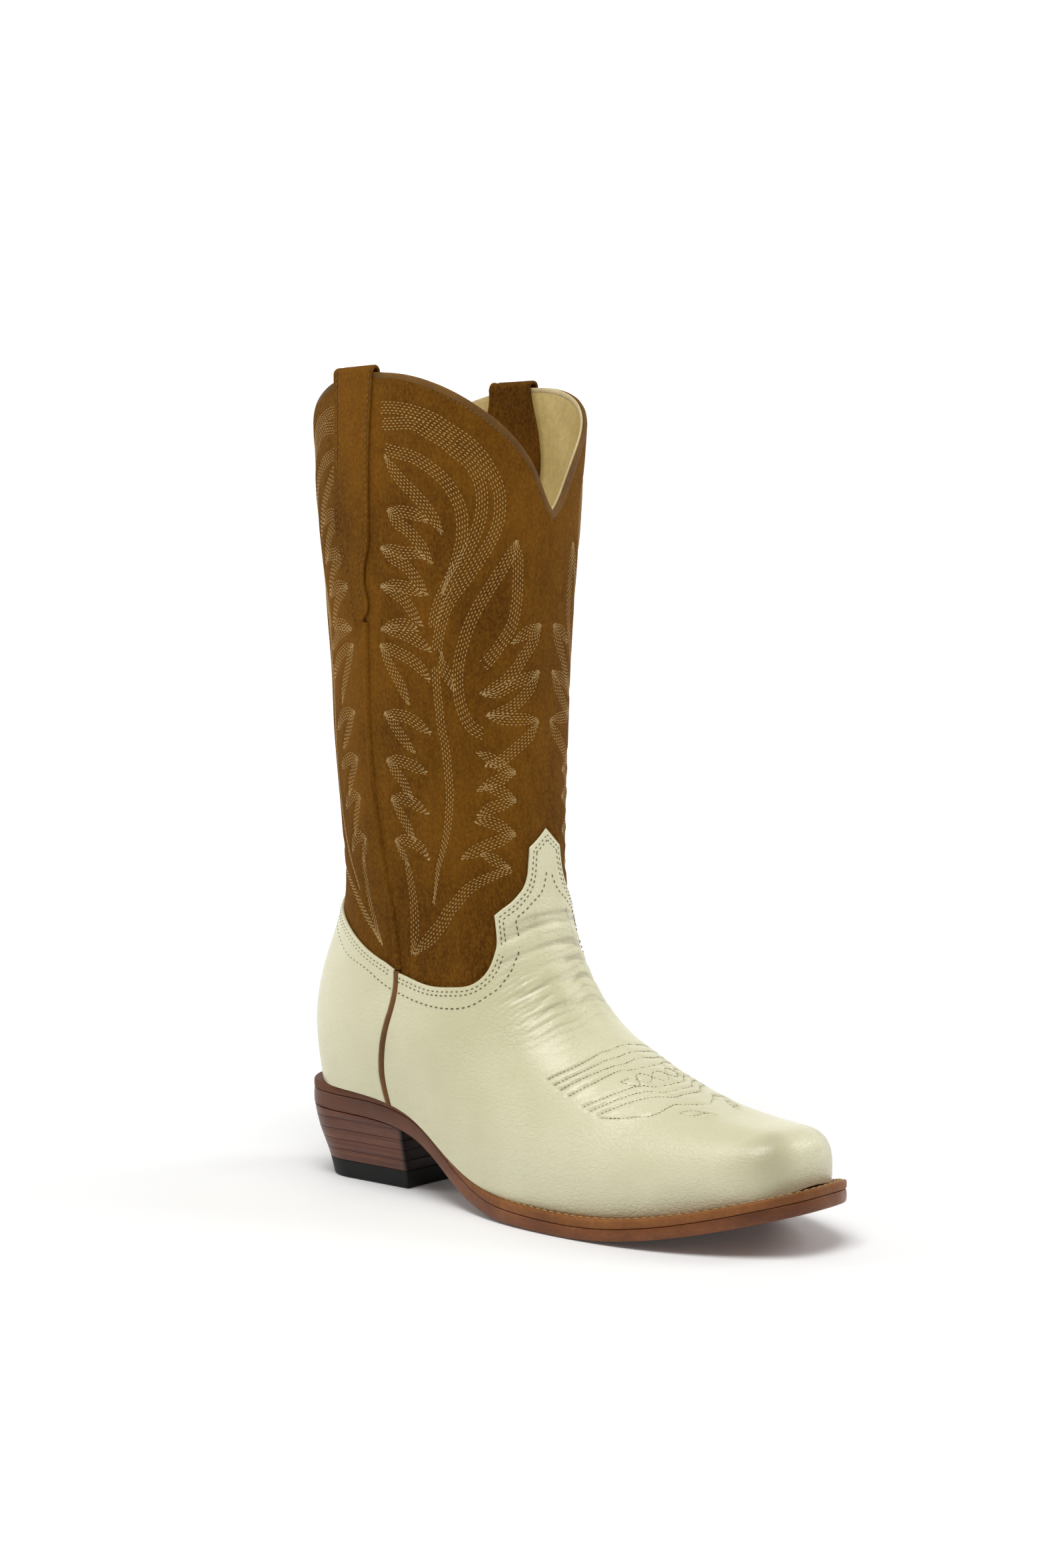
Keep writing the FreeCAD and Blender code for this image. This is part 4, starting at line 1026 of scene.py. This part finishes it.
def build_upper():
    depth = -SUEDE - GAP
    halves = (("front", SEAM, 2 - SEAM, 300, CORNERS), ("back", -SEAM, SEAM, 260, (0.0,)))
    for half, s0, s1, cols, stops in halves:
        shell("shaft_" + half, s0 + HAIR, s1 - HAIR, tucked, panel_top, 0.0, -SUEDE, cols, 290,
              SUEDE_MAT, relief=panel_relief, roll=0.55, breaks=stops)
    for half, s0, s1, _, stops in halves:
        shell("shaft_lining_" + half, s0 + HAIR, s1 - HAIR, lining_low, panel_top, depth, depth - LINING,
              140, 150, LINING_MAT, back_relief=lining_relief, breaks=stops)
    for name, s0, s1, cols, rows, relief, stops in (
            ("vamp", SEAM, 2 - SEAM, 420, 215, vamp_relief, CORNERS),
            ("counter_cover", -SEAM, SEAM, 200, 130, counter_relief, ())):
        shell(name, s0 + HALF_PIPE, s1 - HALF_PIPE, feather_line, cover_top, GAP + CALF, GAP, cols, rows,
              CALF_MAT, relief=fading(relief), roll=0.6, breaks=stops)


def sweep(name, centre, normal, side, half_n, half_b, node, mat, power):
    """A bead with an oval section: half_n along the normal, half_b along the side direction."""
    ring = 14
    angle = np.arange(ring) * 2 * math.pi / ring
    c, s = np.cos(angle), np.sin(angle)
    cn = np.sign(s) * np.abs(s) ** (2 / power)
    cb = np.sign(c) * np.abs(c) ** (2 / power)
    k = len(centre)
    hn, hb = np.broadcast_to(half_n, k), np.broadcast_to(half_b, k)
    pts = (centre[:, None] + normal[:, None] * (cn[None] * hn[:, None])[..., None]
           + side[:, None] * (cb[None] * hb[:, None])[..., None]).reshape(-1, 3)
    quads = grid_faces(k, ring, wrap_cols=True)
    j, n = np.arange(ring), k * ring
    start = np.stack([np.full(ring, n), j, (j + 1) % ring], -1)
    end = np.stack([np.full(ring, n + 1), n - ring + (j + 1) % ring, n - ring + j], -1)
    faces = np.concatenate([quads[:, [0, 1, 2]], quads[:, [0, 2, 3]], start, end])
    return to_object(name, np.concatenate([pts, centre[:1], centre[-1:]]), faces, node, mat)


def edge_frame(s, v):
    """Points on an edge of the upper, the surface's normal there and the way up across the edge."""
    p, n = body_at(s, v)
    t = unit(np.gradient(p, axis=0))
    b = np.cross(n, t)
    return p, n, unit(np.where(b[:, 2:3] < 0, -b, b))


def build_bindings():
    for name, s0, s1 in (("top_binding_front", SEAM, 2 - SEAM), ("top_binding_back", -SEAM, SEAM)):
        middle = 0.5 * (s0 + s1)
        side = np.linspace(0, 1, 220) ** 1.35
        s = np.concatenate([middle - side[::-1] * (middle - s0), (middle + side * (s1 - middle))[1:]])
        v = shaft_top(s) - 0.0022
        p, n, b = edge_frame(s, v)
        wob = 0.10 * noise(p[:, 0] / 2.3, p[:, 1] / 2.3, p[:, 2] / 2.3, 91, 2)
        sweep(name, p - n * 0.52 - b * 0.55, n, b, 0.98 + wob * 0.4, 1.5 + wob,
              name, BIND_MAT, 2.4)
        sweep(name + "_lining_edge", p - n * 2.0 - b * 0.35, n, b, 0.62, 1.25 + wob * 0.5,
              name, TRIM_MAT, 2.4)
        row = along_line(s, v - 2.35 * V_PER_MM, -0.02, 2.0, 1.45, 0.26)
        stitches(name + "_thread", [row], name, DARK_THREAD)


def build_piping():
    for name, seam in (("side_piping_outer", SEAM), ("side_piping_inner", -SEAM)):
        joint = float(cover_top(np.array([SEAM]))[0])
        v = np.linspace(0.0, PIPING_TOP, 420)
        p, n = body_at(np.full_like(v, seam), v)
        side = unit(np.cross(unit(np.gradient(p, axis=0)), n))
        wob = 0.12 * noise(p[:, 0] / 5, p[:, 1] / 5, p[:, 2] / 4, 95, 3)
        foot = v < joint
        sweep(name, (p + n * 0.55)[foot], n[foot], side[foot], (1.25 + wob)[foot], (1.62 + wob)[foot],
              name, PIPING_MAT, 2.2)
        up = ~foot
        toward = 1.0 if side[up][0][0] > 0 else -1.0
        sweep(name + "_shaft", (p + n * 0.05 + side * toward * 0.7)[up], n[up], side[up], (1.5 + wob)[up],
              (1.6 + wob)[up], name, SUEDE_MAT, 2.2)


def strap_path():
    outside = GAP + 0.08 + STRAP / 2
    inside = -SUEDE - 2 * GAP - LINING - 0.35 - STRAP / 2
    arc_r = 0.5 * (outside - inside)
    arc_v = float(scallop(83.0)) + 0.4 * V_PER_MM
    v = list(np.linspace(STRAP_LOW, arc_v, 150))
    d = [outside] * 150
    for a in np.linspace(0, math.pi, 26)[1:-1]:
        v.append(arc_v + arc_r * math.sin(a) * V_PER_MM)
        d.append(inside + arc_r + arc_r * math.cos(a))
    v += list(np.linspace(arc_v, STRAP_INNER_LOW, 90))
    d += [inside] * 90
    return np.array(v), np.array(d)


def build_straps():
    v, d = strap_path()
    along_v, along_d = np.gradient(v) / V_PER_MM, np.gradient(d)
    size = np.hypot(along_v, along_d)
    out_v, out_d = -along_d / size * V_PER_MM, along_v / size
    inner_leg = d < -0.5
    half = np.where(inner_leg, strap_inner_half(v), strap_half(v))
    arm = np.concatenate([[-1, -0.985, -0.95, -0.9], np.linspace(-0.86, 0.86, 44), [0.9, 0.95, 0.985, 1]])
    run, roll, seam_inset = 230.0, 0.65, 2.3
    middle = strap_middle(v) + np.where(inner_leg, strap_inner_lean(v), 0.0)
    u = middle[:, None] + half[:, None] * arm[None]
    vv, dd = np.repeat(v[:, None], len(arm), 1), np.repeat(d[:, None], len(arm), 1)
    gap = np.minimum((1 - np.abs(arm))[None] * half[:, None] * run, 99)
    groove = 0.35 * np.exp(-0.5 * ((gap - seam_inset) / 0.5) ** 2)
    lift = STRAP / 2 - rounded(gap, roll)
    for name, side in (("pull_strap_outer", 1.0), ("pull_strap_inner", -1.0)):
        x, y, z = np.moveaxis(body_at(side * u, vv)[0], -1, 0)
        fuzz = 0.10 * noise(x / 3, y / 3, z / 4, 101, 3) + 0.22 * noise(x / 15, y / 15, z / 18, 105, 2)
        faces = [offset(side * u, vv + out_v[:, None] * h, dd + out_d[:, None] * h).reshape(-1, 3)
                 for h in (lift + fuzz - groove, -lift)]
        to_object(name, np.concatenate(faces), sheet_faces(*u.shape, flip=side > 0), name, SUEDE_MAT)
        rows = []
        leg = (~inner_leg) & (half > seam_inset / run * 1.6)
        for edge in (-1, 1):
            ue = strap_middle(v)[leg] + edge * (half[leg] - seam_inset / run)
            rows.append(along_line(side * ue, v[leg], d[leg] + STRAP / 2 - 0.1, 2.6, 1.9, 0.3))
        stitches(name + "_thread", rows, name, STRAP_THREAD)


def build_stitching():
    for (back, inner), lines in QUARTERS.items():
        rows = []
        for i, (s, v) in enumerate(lines):
            p = body_at(s, v)[0]
            depth = shaft_relief(s, v, p) - 0.02
            rows.append(along_line(s, v, depth, 2.0, 1.4, THREAD, 0.5 * (i % 2)))
        panel = "shaft_back" if back else "shaft_front"
        stitches("%s_thread_%s" % (panel, "inner" if inner else "outer"), rows, panel, PALE_THREAD)
    # vamp and counter: a double row at the edge and a decorative row further in
    top = GAP + CALF
    second = surface_curve([(.286, .2655), (.33, .268), (.38, .277), (.44, .288), (.50, .300), (.556, .317),
                            (.60, .330), (.63, .341), (.678, .357), (.714, .370), (.75, .381), (.778, .397),
                            (.789, .412), (.80, .424), (.85, .432), (.90, .442), (.942, .452), (.968, .465),
                            (.981, .48), (.992, .494)], 300)
    back_row = surface_curve([(0, .392), (.04, .385), (.08, .367), (.12, .338), (.15, .312), (.20, .293),
                              (.25, .270), (.273, .266)], 160)
    for name, node, s, inner_rows in (
            ("vamp_thread", "vamp", np.linspace(SEAM + 0.009, 2 - SEAM - 0.009, 900),
             [(flipped(second[0], flip), second[1]) for flip in (False, True)]),
            ("counter_thread", "counter_cover", np.linspace(-SEAM + 0.009, SEAM - 0.009, 500),
             [(side * back_row[0], back_row[1]) for side in (-1, 1)])):
        rows = [along_line(*edge_inset(s, cover_top, inset), top - 0.05, 2.3, 1.5, 0.24)
                for inset in (1.9, 3.5)]
        rows += [along_line(ss, v, top - 0.05, 2.6, 1.75, 0.26) for ss, v in inner_rows]
        stitches(name, rows, node, DARK_THREAD)
    rows = [along_line(s, v, top + vamp_relief(s, v, body_at(s, v)[0]) + 0.02, 1.65, 1.5, 0.15)
            for s, v in BUG]
    stitches("toe_thread", rows, "vamp", DARK_THREAD)


def edge_inset(s, edge, inset):
    """The line that stays inset mm inside an edge, as (s, v)."""
    v = edge(s)
    p, _, b = edge_frame(s, v)
    ss, vv = settle(p - b * inset, s, v - inset / 400.0)
    q = body_at(ss, vv)[0]
    near = np.array([np.min(np.linalg.norm(p - point, axis=1)) for point in q])
    keep = (near > inset * 0.9) & (vv < edge(ss) - inset / 700.0)
    return ss[keep], vv[keep]


# ---------------------------------------------------------------- the sole and heel
def closed_curve(points, count):
    """Even smooth samples of a closed curve through points (Catmull-Rom)."""
    p = np.array(points, float)
    n = len(p)
    fine = []
    for i in range(n):
        four = [p[(i + k) % n] for k in range(-1, 3)]
        for t in np.linspace(0, 1, 24, endpoint=False):
            fine.append(sum(catmull(t, k - 1) * q for k, q in enumerate(four)))
    fine = np.array(fine + [fine[0]])
    d = chord(fine)
    return pick(np.linspace(0, d[-1], count, endpoint=False), d, fine)


def sole_points():
    pts = [(x, -float(sole_outer(x))) for x in np.linspace(SEAT_X, NOSE_X, 18)]
    reach, out, inn = SOLE_TIP_X - NOSE_X, float(sole_outer(NOSE_X)), float(sole_inner(NOSE_X))
    pts += [(NOSE_X + 0.62 * reach, -0.72 * out), (NOSE_X + 0.93 * reach, -0.37 * out), (SOLE_TIP_X, 0.0),
            (NOSE_X + 0.93 * reach, 0.37 * inn), (NOSE_X + 0.62 * reach, 0.72 * inn)]
    pts += [(x, float(sole_inner(x))) for x in np.linspace(NOSE_X, SEAT_X, 18)]
    for angle in (112.5, 135, 157.5, 180, 202.5, 225, 247.5):
        a = math.radians(angle)
        pts.append((SEAT_X - (SEAT_X - SOLE_BACK_X) * abs(math.cos(a)) ** 0.9,
                    math.copysign(30.0 * abs(math.sin(a)) ** 0.9, math.sin(a))))
    return pts


OUTLINE = closed_curve(sole_points(), 900)


def inward(outline):
    t = unit(np.roll(outline, -1, 0) - np.roll(outline, 1, 0))
    return np.stack([-t[:, 1], t[:, 0]], 1)


def sole_low(x):
    return feather(x) - sole_depth(x)


def sole_high(x):
    return feather(x) - WELT - 2 * GAP


def standing(q, height):
    """Plan points set at the height that goes with their x."""
    return np.column_stack([q, height(q[:, 0])])


# (inset, place in the sole's thickness from 0 bottom to 1 top, mm added to the height)
SOLE_PROFILE = [(9.0, 1, 0), (3.0, 1, 0), (1.2, 1, 0), (0.45, 1, -0.08), (0.12, 1, -0.35), (0.0, 1, -0.9),
                (-0.12, 0.6, 0), (-0.12, 0.4, 0), (0.0, 0, 1.0), (0.14, 0, 0.45), (0.5, 0, 0.12), (1.1, 0, 0),
                (2.2, 0, 0), (5.0, 0, 0)]


def profile_rings(p, n, edge, profile, low, high):
    rings = []
    for inset, share, add in profile:
        q = p + n * (inset + edge)[:, None]
        a, b = low(q[:, 0]), high(q[:, 0])
        rings.append(np.column_stack([q, a + (b - a) * share + add]))
    return rings


def build_outsole():
    n = inward(OUTLINE)
    # each outline point's place on the middle line, where the closed faces meet
    core = np.stack([np.clip(OUTLINE[:, 0], 42, 238), 0 * OUTLINE[:, 1]], 1)
    edge = 0.10 * noise(OUTLINE[:, 0] / 6, OUTLINE[:, 1] / 6, 0, 111, 3)
    rings = profile_rings(OUTLINE, n, edge, SOLE_PROFILE, sole_low, sole_high)
    above, below = OUTLINE + n * SOLE_PROFILE[0][0], OUTLINE + n * SOLE_PROFILE[-1][0]
    top = [standing(above + (core - above) * f, sole_high) for f in np.linspace(0, 1, 6)[1:][::-1]]
    bottom = [standing(below + (core - below) * f, sole_low) for f in np.linspace(0, 1, 12)[1:]]
    grid = np.array(top + rings + bottom)
    weld(to_object("outsole", grid.reshape(-1, 3), grid_faces(*grid.shape[:2], wrap_cols=True), "outsole",
                   SOLE_MAT))


def weld(obj):
    bm = bmesh.new()
    bm.from_mesh(obj.data)
    bmesh.ops.remove_doubles(bm, verts=bm.verts, dist=1e-6)
    bmesh.ops.recalc_face_normals(bm, faces=bm.faces)
    bm.to_mesh(obj.data)
    bm.free()


def part_of_outline(front):
    """Outline points in order, over the front part or the heel part, without closing the ring."""
    keep = OUTLINE[:, 0] > WELT_START_X if front else OUTLINE[:, 0] < WELT_START_X - 0.2
    start = np.flatnonzero(keep & ~np.roll(keep, 1))[0]
    order = np.roll(np.arange(len(OUTLINE)), -start)
    return order[keep[order]]


def welt_low(x):
    return feather(x) - WELT - GAP


def welt_high(x):
    return feather(x) - GAP


EDGE_PROFILE = [(13.0, 0, 0), (8.0, 0, 0), (0.5, 0, 0), (0.12, 0, 0.12), (-0.05, 0, 0.5), (-0.1, 0.5, 0),
                (-0.02, 1, -0.75), (0.15, 1, -0.35), (0.5, 1, -0.1), (1.1, 1, 0), (1.9, 1, -0.02),
                (2.5, 1, 0.02), (4.5, 1, 0.0), (8.0, 1, 0.0), (13.0, 1, 0.0)]


def strip(name, order, rough_edge, seed):
    """A strip of welt leather on the sole's edge, closed at both ends."""
    p, n = OUTLINE[order], inward(OUTLINE)[order]
    edge = rough_edge * noise(p[:, 0] / 5, p[:, 1] / 5, 0, seed, 3)
    grid = np.array(profile_rings(p, n, edge, EDGE_PROFILE, welt_low, welt_high))
    k, m = grid.shape[:2]
    faces = grid_faces(k, m, wrap_rows=True)
    tri = []
    for e, col in ((0, 0), (1, m - 1)):
        for i in range(k):
            a, b = i * m + col, ((i + 1) % k) * m + col
            tri.append((k * m + e, a, b) if e else (k * m + e, b, a))
    faces = np.concatenate([faces[:, [0, 1, 2]], faces[:, [0, 2, 3]], np.array(tri)])
    pts = np.concatenate([grid.reshape(-1, 3), grid[:, [0, -1]].mean(0)])
    weld(to_object(name, pts, faces, name, WELT_MAT))


def build_welt():
    front = part_of_outline(True)
    strip("welt", front, 0.16, 121)
    strip("heel_rand", part_of_outline(False), 0.12, 131)
    q = OUTLINE[front] + inward(OUTLINE)[front] * 2.1
    line = np.column_stack([q, welt_high(q[:, 0]) + 0.08])
    f = even_steps(line, 3.6)
    k = np.linspace(0, 1, len(line))
    up = np.tile(np.array([0.0, 0.0, 1.0]), (len(f), 1))
    row = (pick(f, k, line), pick(f + 0.002, k, line) - pick(f - 0.002, k, line), up, 2.9, 0.45)
    stitches("welt_thread", [row], "welt", TAN_THREAD)


# (height, x of the back, x of the breast, half width)
HEEL_Z = [(0.0, 17.5, 72.4, 25.0), (CAP, 15.6, 72.7, 25.9), (20.0, 11.0, 73.3, 28.6),
          (34.0, 8.7, BREAST_X, 30.6)]
heel_back, heel_breast, heel_half = (Curve([(row[0], row[i]) for row in HEEL_Z]) for i in (1, 2, 3))
HEEL_MIDDLE = np.array([44.0, 0.0])
FLARE, ROUND_X, ROUND_LEAN, CORNER_ROUND, LAST_LIFT_TOP = 0.04, 38.0, 0.24, 0.8, 30.0


def heel_ring(z):
    """Plan outline of the heel at height z: round behind, flat across the breast with small round corners."""
    back, breast, half = float(heel_back(z)), float(heel_breast(z)), float(heel_half(z))
    r = CORNER_ROUND
    corner = half - 0.6 + FLARE * z
    centre = ROUND_X - ROUND_LEAN * z
    side = [(x, half + (corner - half) * (x - centre) / (breast - centre))
            for x in np.linspace(centre, breast - r, 40)]
    turn = [(breast - r + r * math.sin(a), corner - r + r * math.cos(a)) for a in np.linspace(0.3, 1.57, 4)]
    pts = [(x, -y) for x, y in side[::-1]]
    for a in np.radians(np.linspace(-90, 90, 121)[1:-1]):
        pts.append((centre - (centre - back) * abs(math.cos(a)) ** 0.9,
                    math.copysign(half * abs(math.sin(a)) ** 0.9, a)))
    pts += side + turn
    pts += [(breast, y) for y in np.linspace(corner - r, -corner + r, 30)[1:-1]]
    return np.array(pts + [(x, -y) for x, y in turn[::-1]])


def lift_piece(name, z0, z1, mat, bevel, seed, top=None):
    """One layer of the heel with worn edges; top gives its upper face's height where that isn't level."""
    steps = [(3.0, 0.0), (bevel * 2, 0.0), (bevel * 0.5, bevel * 0.35), (0, bevel * 1.3)]
    heights = [(i, z0 + dz) for i, dz in steps] + [(0, 0.5 * (z0 + z1))]
    heights += [(i, z1 - dz) for i, dz in steps[::-1]]
    first = heel_ring(z0)
    wob = 0.10 * noise(first[:, 0] / 7, first[:, 1] / 7, 0, seed, 3) + 0.04
    rings = []
    for inset, z in heights:
        p = heel_ring(z)
        q = p + unit(HEEL_MIDDLE - p) * (inset + wob)[:, None]
        level = np.full(len(q), z) if top is None else z0 + (z - z0) / (z1 - z0) * (top(q[:, 0]) - z0)
        rings.append(np.column_stack([q, level]))
    shares = (0.35, 0.7, 1.0)
    low, high = [], []
    for share in shares:
        q = rings[0][:, :2] + (HEEL_MIDDLE - rings[0][:, :2]) * share
        low.append(np.column_stack([q, rings[0][:, 2]]))
        q = rings[-1][:, :2] + (HEEL_MIDDLE - rings[-1][:, :2]) * share
        high.append(np.column_stack([q, rings[-1][:, 2] if top is None else top(q[:, 0])]))
    grid = np.array(low[::-1] + rings + high)
    # mask of the breast face, where the heel material paints shade almost to black
    front = smooth((grid[..., 0] - float(heel_breast(z0)) + 2.0) / 1.2)
    weld(to_object(name, grid.reshape(-1, 3), grid_faces(*grid.shape[:2], wrap_cols=True), name, mat,
                   {"breast": front}))


def under_sole(x):
    return sole_low(x) - GAP


def build_heel():
    lift_piece("heel_cap", 0.0, CAP, RUBBER_MAT, 0.35, 141)
    for number in range(1, FULL_LIFTS + 2):
        z0 = CAP + GAP + (number - 1) * LIFT
        whole = number <= FULL_LIFTS
        lift_piece("heel_lift_%d" % number, z0, z0 + LIFT - GAP if whole else LAST_LIFT_TOP,
                   HEEL_MAT, 0.14, 150 + number, None if whole else under_sole)


def dome(centre, radius, height):
    """The domed head of a peg or nail, facing down."""
    ring = np.arange(14) * 2 * math.pi / 14
    x, y, z = centre
    return np.array([np.column_stack([x + radius * r * np.cos(ring), y + radius * r * np.sin(ring),
                                      np.full(14, z - h * height)])
                     for r, h in ((1.0, -0.6), (1.0, 0.55), (0.8, 0.9), (0.4, 1.0), (0.0, 1.02))])


PEG_START_X, PEG_PITCH, PEG_INSET = 84.0, 6.5, 9.0


def build_pegs_and_nails():
    pegs = []
    for x in PEG_START_X + PEG_PITCH * np.arange(9):
        for y in (PEG_INSET - float(sole_outer(x)), float(sole_inner(x)) - PEG_INSET):
            pegs.append(dome((x, y, float(sole_low(x))), 1.1, 0.18))
    nails = [dome((x, y, 0.15), 1.2, 0.12)
             for x, y in ((24, 0), (30, 14), (30, -14), (46, 19), (46, -19), (64, 19), (64, -19), (64, 0))]
    for name, heads, slot, mat in (("wooden_pegs", pegs, "peg_wood", PEG_MAT),
                                   ("heel_cap_nails", nails, "nail_brass", BRASS_MAT)):
        k, m = heads[0].shape[:2]
        faces = [grid_faces(k, m, i * k * m, wrap_cols=True, flip=True) for i in range(len(heads))]
        points = np.array(heads).reshape(-1, 3)
        weld(to_object(name + "_heads", points, np.concatenate(faces), name, mat))


def paint_cad():
    """Materials for the CAD solids that stay as they are: the inside of the boot."""
    for nodes, mat, slot in (
            (("insole_rib", "shank_cover", "insole"), INSOLE_MAT, "insole_leather"),
            (("sock_liner", "vamp_lining", "heel_lining"), LINING_MAT, "lining_leather"),
            (("counter_stiffener", "toe_puff"), BOARD_MAT, "stiffener"),
            (("cork_filler",), CORK_MAT, "cork"), (("steel_shank",), STEEL_MAT, "steel")):
        for n in nodes:
            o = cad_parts[n]
            o.data.materials.clear()
            o.data.materials.append(mat)


build_upper()
build_bindings()
build_piping()
build_straps()
build_stitching()
build_outsole()
build_welt()
build_heel()
build_pegs_and_nails()
paint_cad()


# ---------------------------------------------------------------- studio
def in_scene(name, data):
    obj = bpy.data.objects.new(name, data)
    bpy.context.scene.collection.objects.link(obj)
    return obj


# the camera that was fitted to the photo
VIEW_TURN, VIEW_TILT = math.radians(41.35), math.radians(90 - 3.743)
VIEW_PLACE, LENS, SENSOR, SHIFT = (0.6851, -0.8226, 0.2425), 60.46, 36.0, 0.01709
FLOOR_HALF, FLOOR_ROWS = 6.0, 40


def build_floor():
    """A pale floor that curves up behind the boot."""
    away = Vector((-math.sin(VIEW_TURN), math.cos(VIEW_TURN), 0))
    side = Vector((away.y, -away.x, 0))
    pts = []
    for i in range(FLOOR_ROWS):
        t = i / (FLOOR_ROWS - 1)
        a = max(t - 0.5, 0.0) * math.pi
        back = -3.0 + 9.0 * min(t, 0.5) + 2.5 * math.sin(a)
        for w in (-FLOOR_HALF, FLOOR_HALF):
            p = away * back + side * w
            pts.append((p.x, p.y, 2.5 * (1 - math.cos(a)) - 0.0002))
    faces = [(2 * i, 2 * i + 1, 2 * i + 3, 2 * i + 2) for i in range(FLOOR_ROWS - 1)]
    mesh = bpy.data.meshes.new("floor")
    mesh.from_pydata(pts, [], faces)
    mesh.polygons.foreach_set("use_smooth", [True] * len(faces))
    floor = in_scene("floor", mesh)
    m, t, sh = material("pale_floor")
    set_inputs(sh, Base_Color=(0.92, 0.92, 0.915, 1), Roughness=0.75, Emission_Color=(1, 1, 1, 1))
    # the sweep glows a little more the farther it is from the boot, so it fades out to white
    reach = node(t, "ShaderNodeVectorMath", operation="LENGTH")
    t.links.new(scaled_position(t), reach.inputs[0])
    glow = spread_value(t, reach.outputs["Value"], 0.16, 1.3, 0.03, 0.75)
    t.links.new(glow, sh.inputs["Emission Strength"])
    mesh.materials.append(m)


def studio():
    build_floor()
    world = bpy.data.worlds.new("studio")
    world.use_nodes = True
    set_inputs(world.node_tree.nodes["Background"], Color=(1, 1, 1, 1), Strength=0.25)
    bpy.context.scene.world = world
    for name, place, power, width, aim in (
            ("key", (0.25, -0.55, 1.75), 24.0, 1.0, (0.05, 0, 0.1)),
            ("left", (-1.25, -0.75, 0.75), 4.6, 0.7, (0, 0, 0.15)),
            ("right", (0.85, 1.05, 0.95), 6.8, 0.7, (0, 0, 0.15))):
        light = bpy.data.lights.new(name, "AREA")
        light.energy, light.size = power, width
        o = in_scene(name, light)
        o.location = place
        o.rotation_euler = (Vector(aim) - Vector(place)).to_track_quat("-Z", "Y").to_euler()
    cam = bpy.data.cameras.new("camera")
    cam.lens, cam.sensor_width, cam.shift_x = LENS, SENSOR, SHIFT
    o = in_scene("camera", cam)
    o.location = VIEW_PLACE
    o.rotation_euler = (VIEW_TILT, 0, VIEW_TURN)
    bpy.context.scene.camera = o
    bpy.context.scene.view_settings.view_transform = "Standard"


studio()
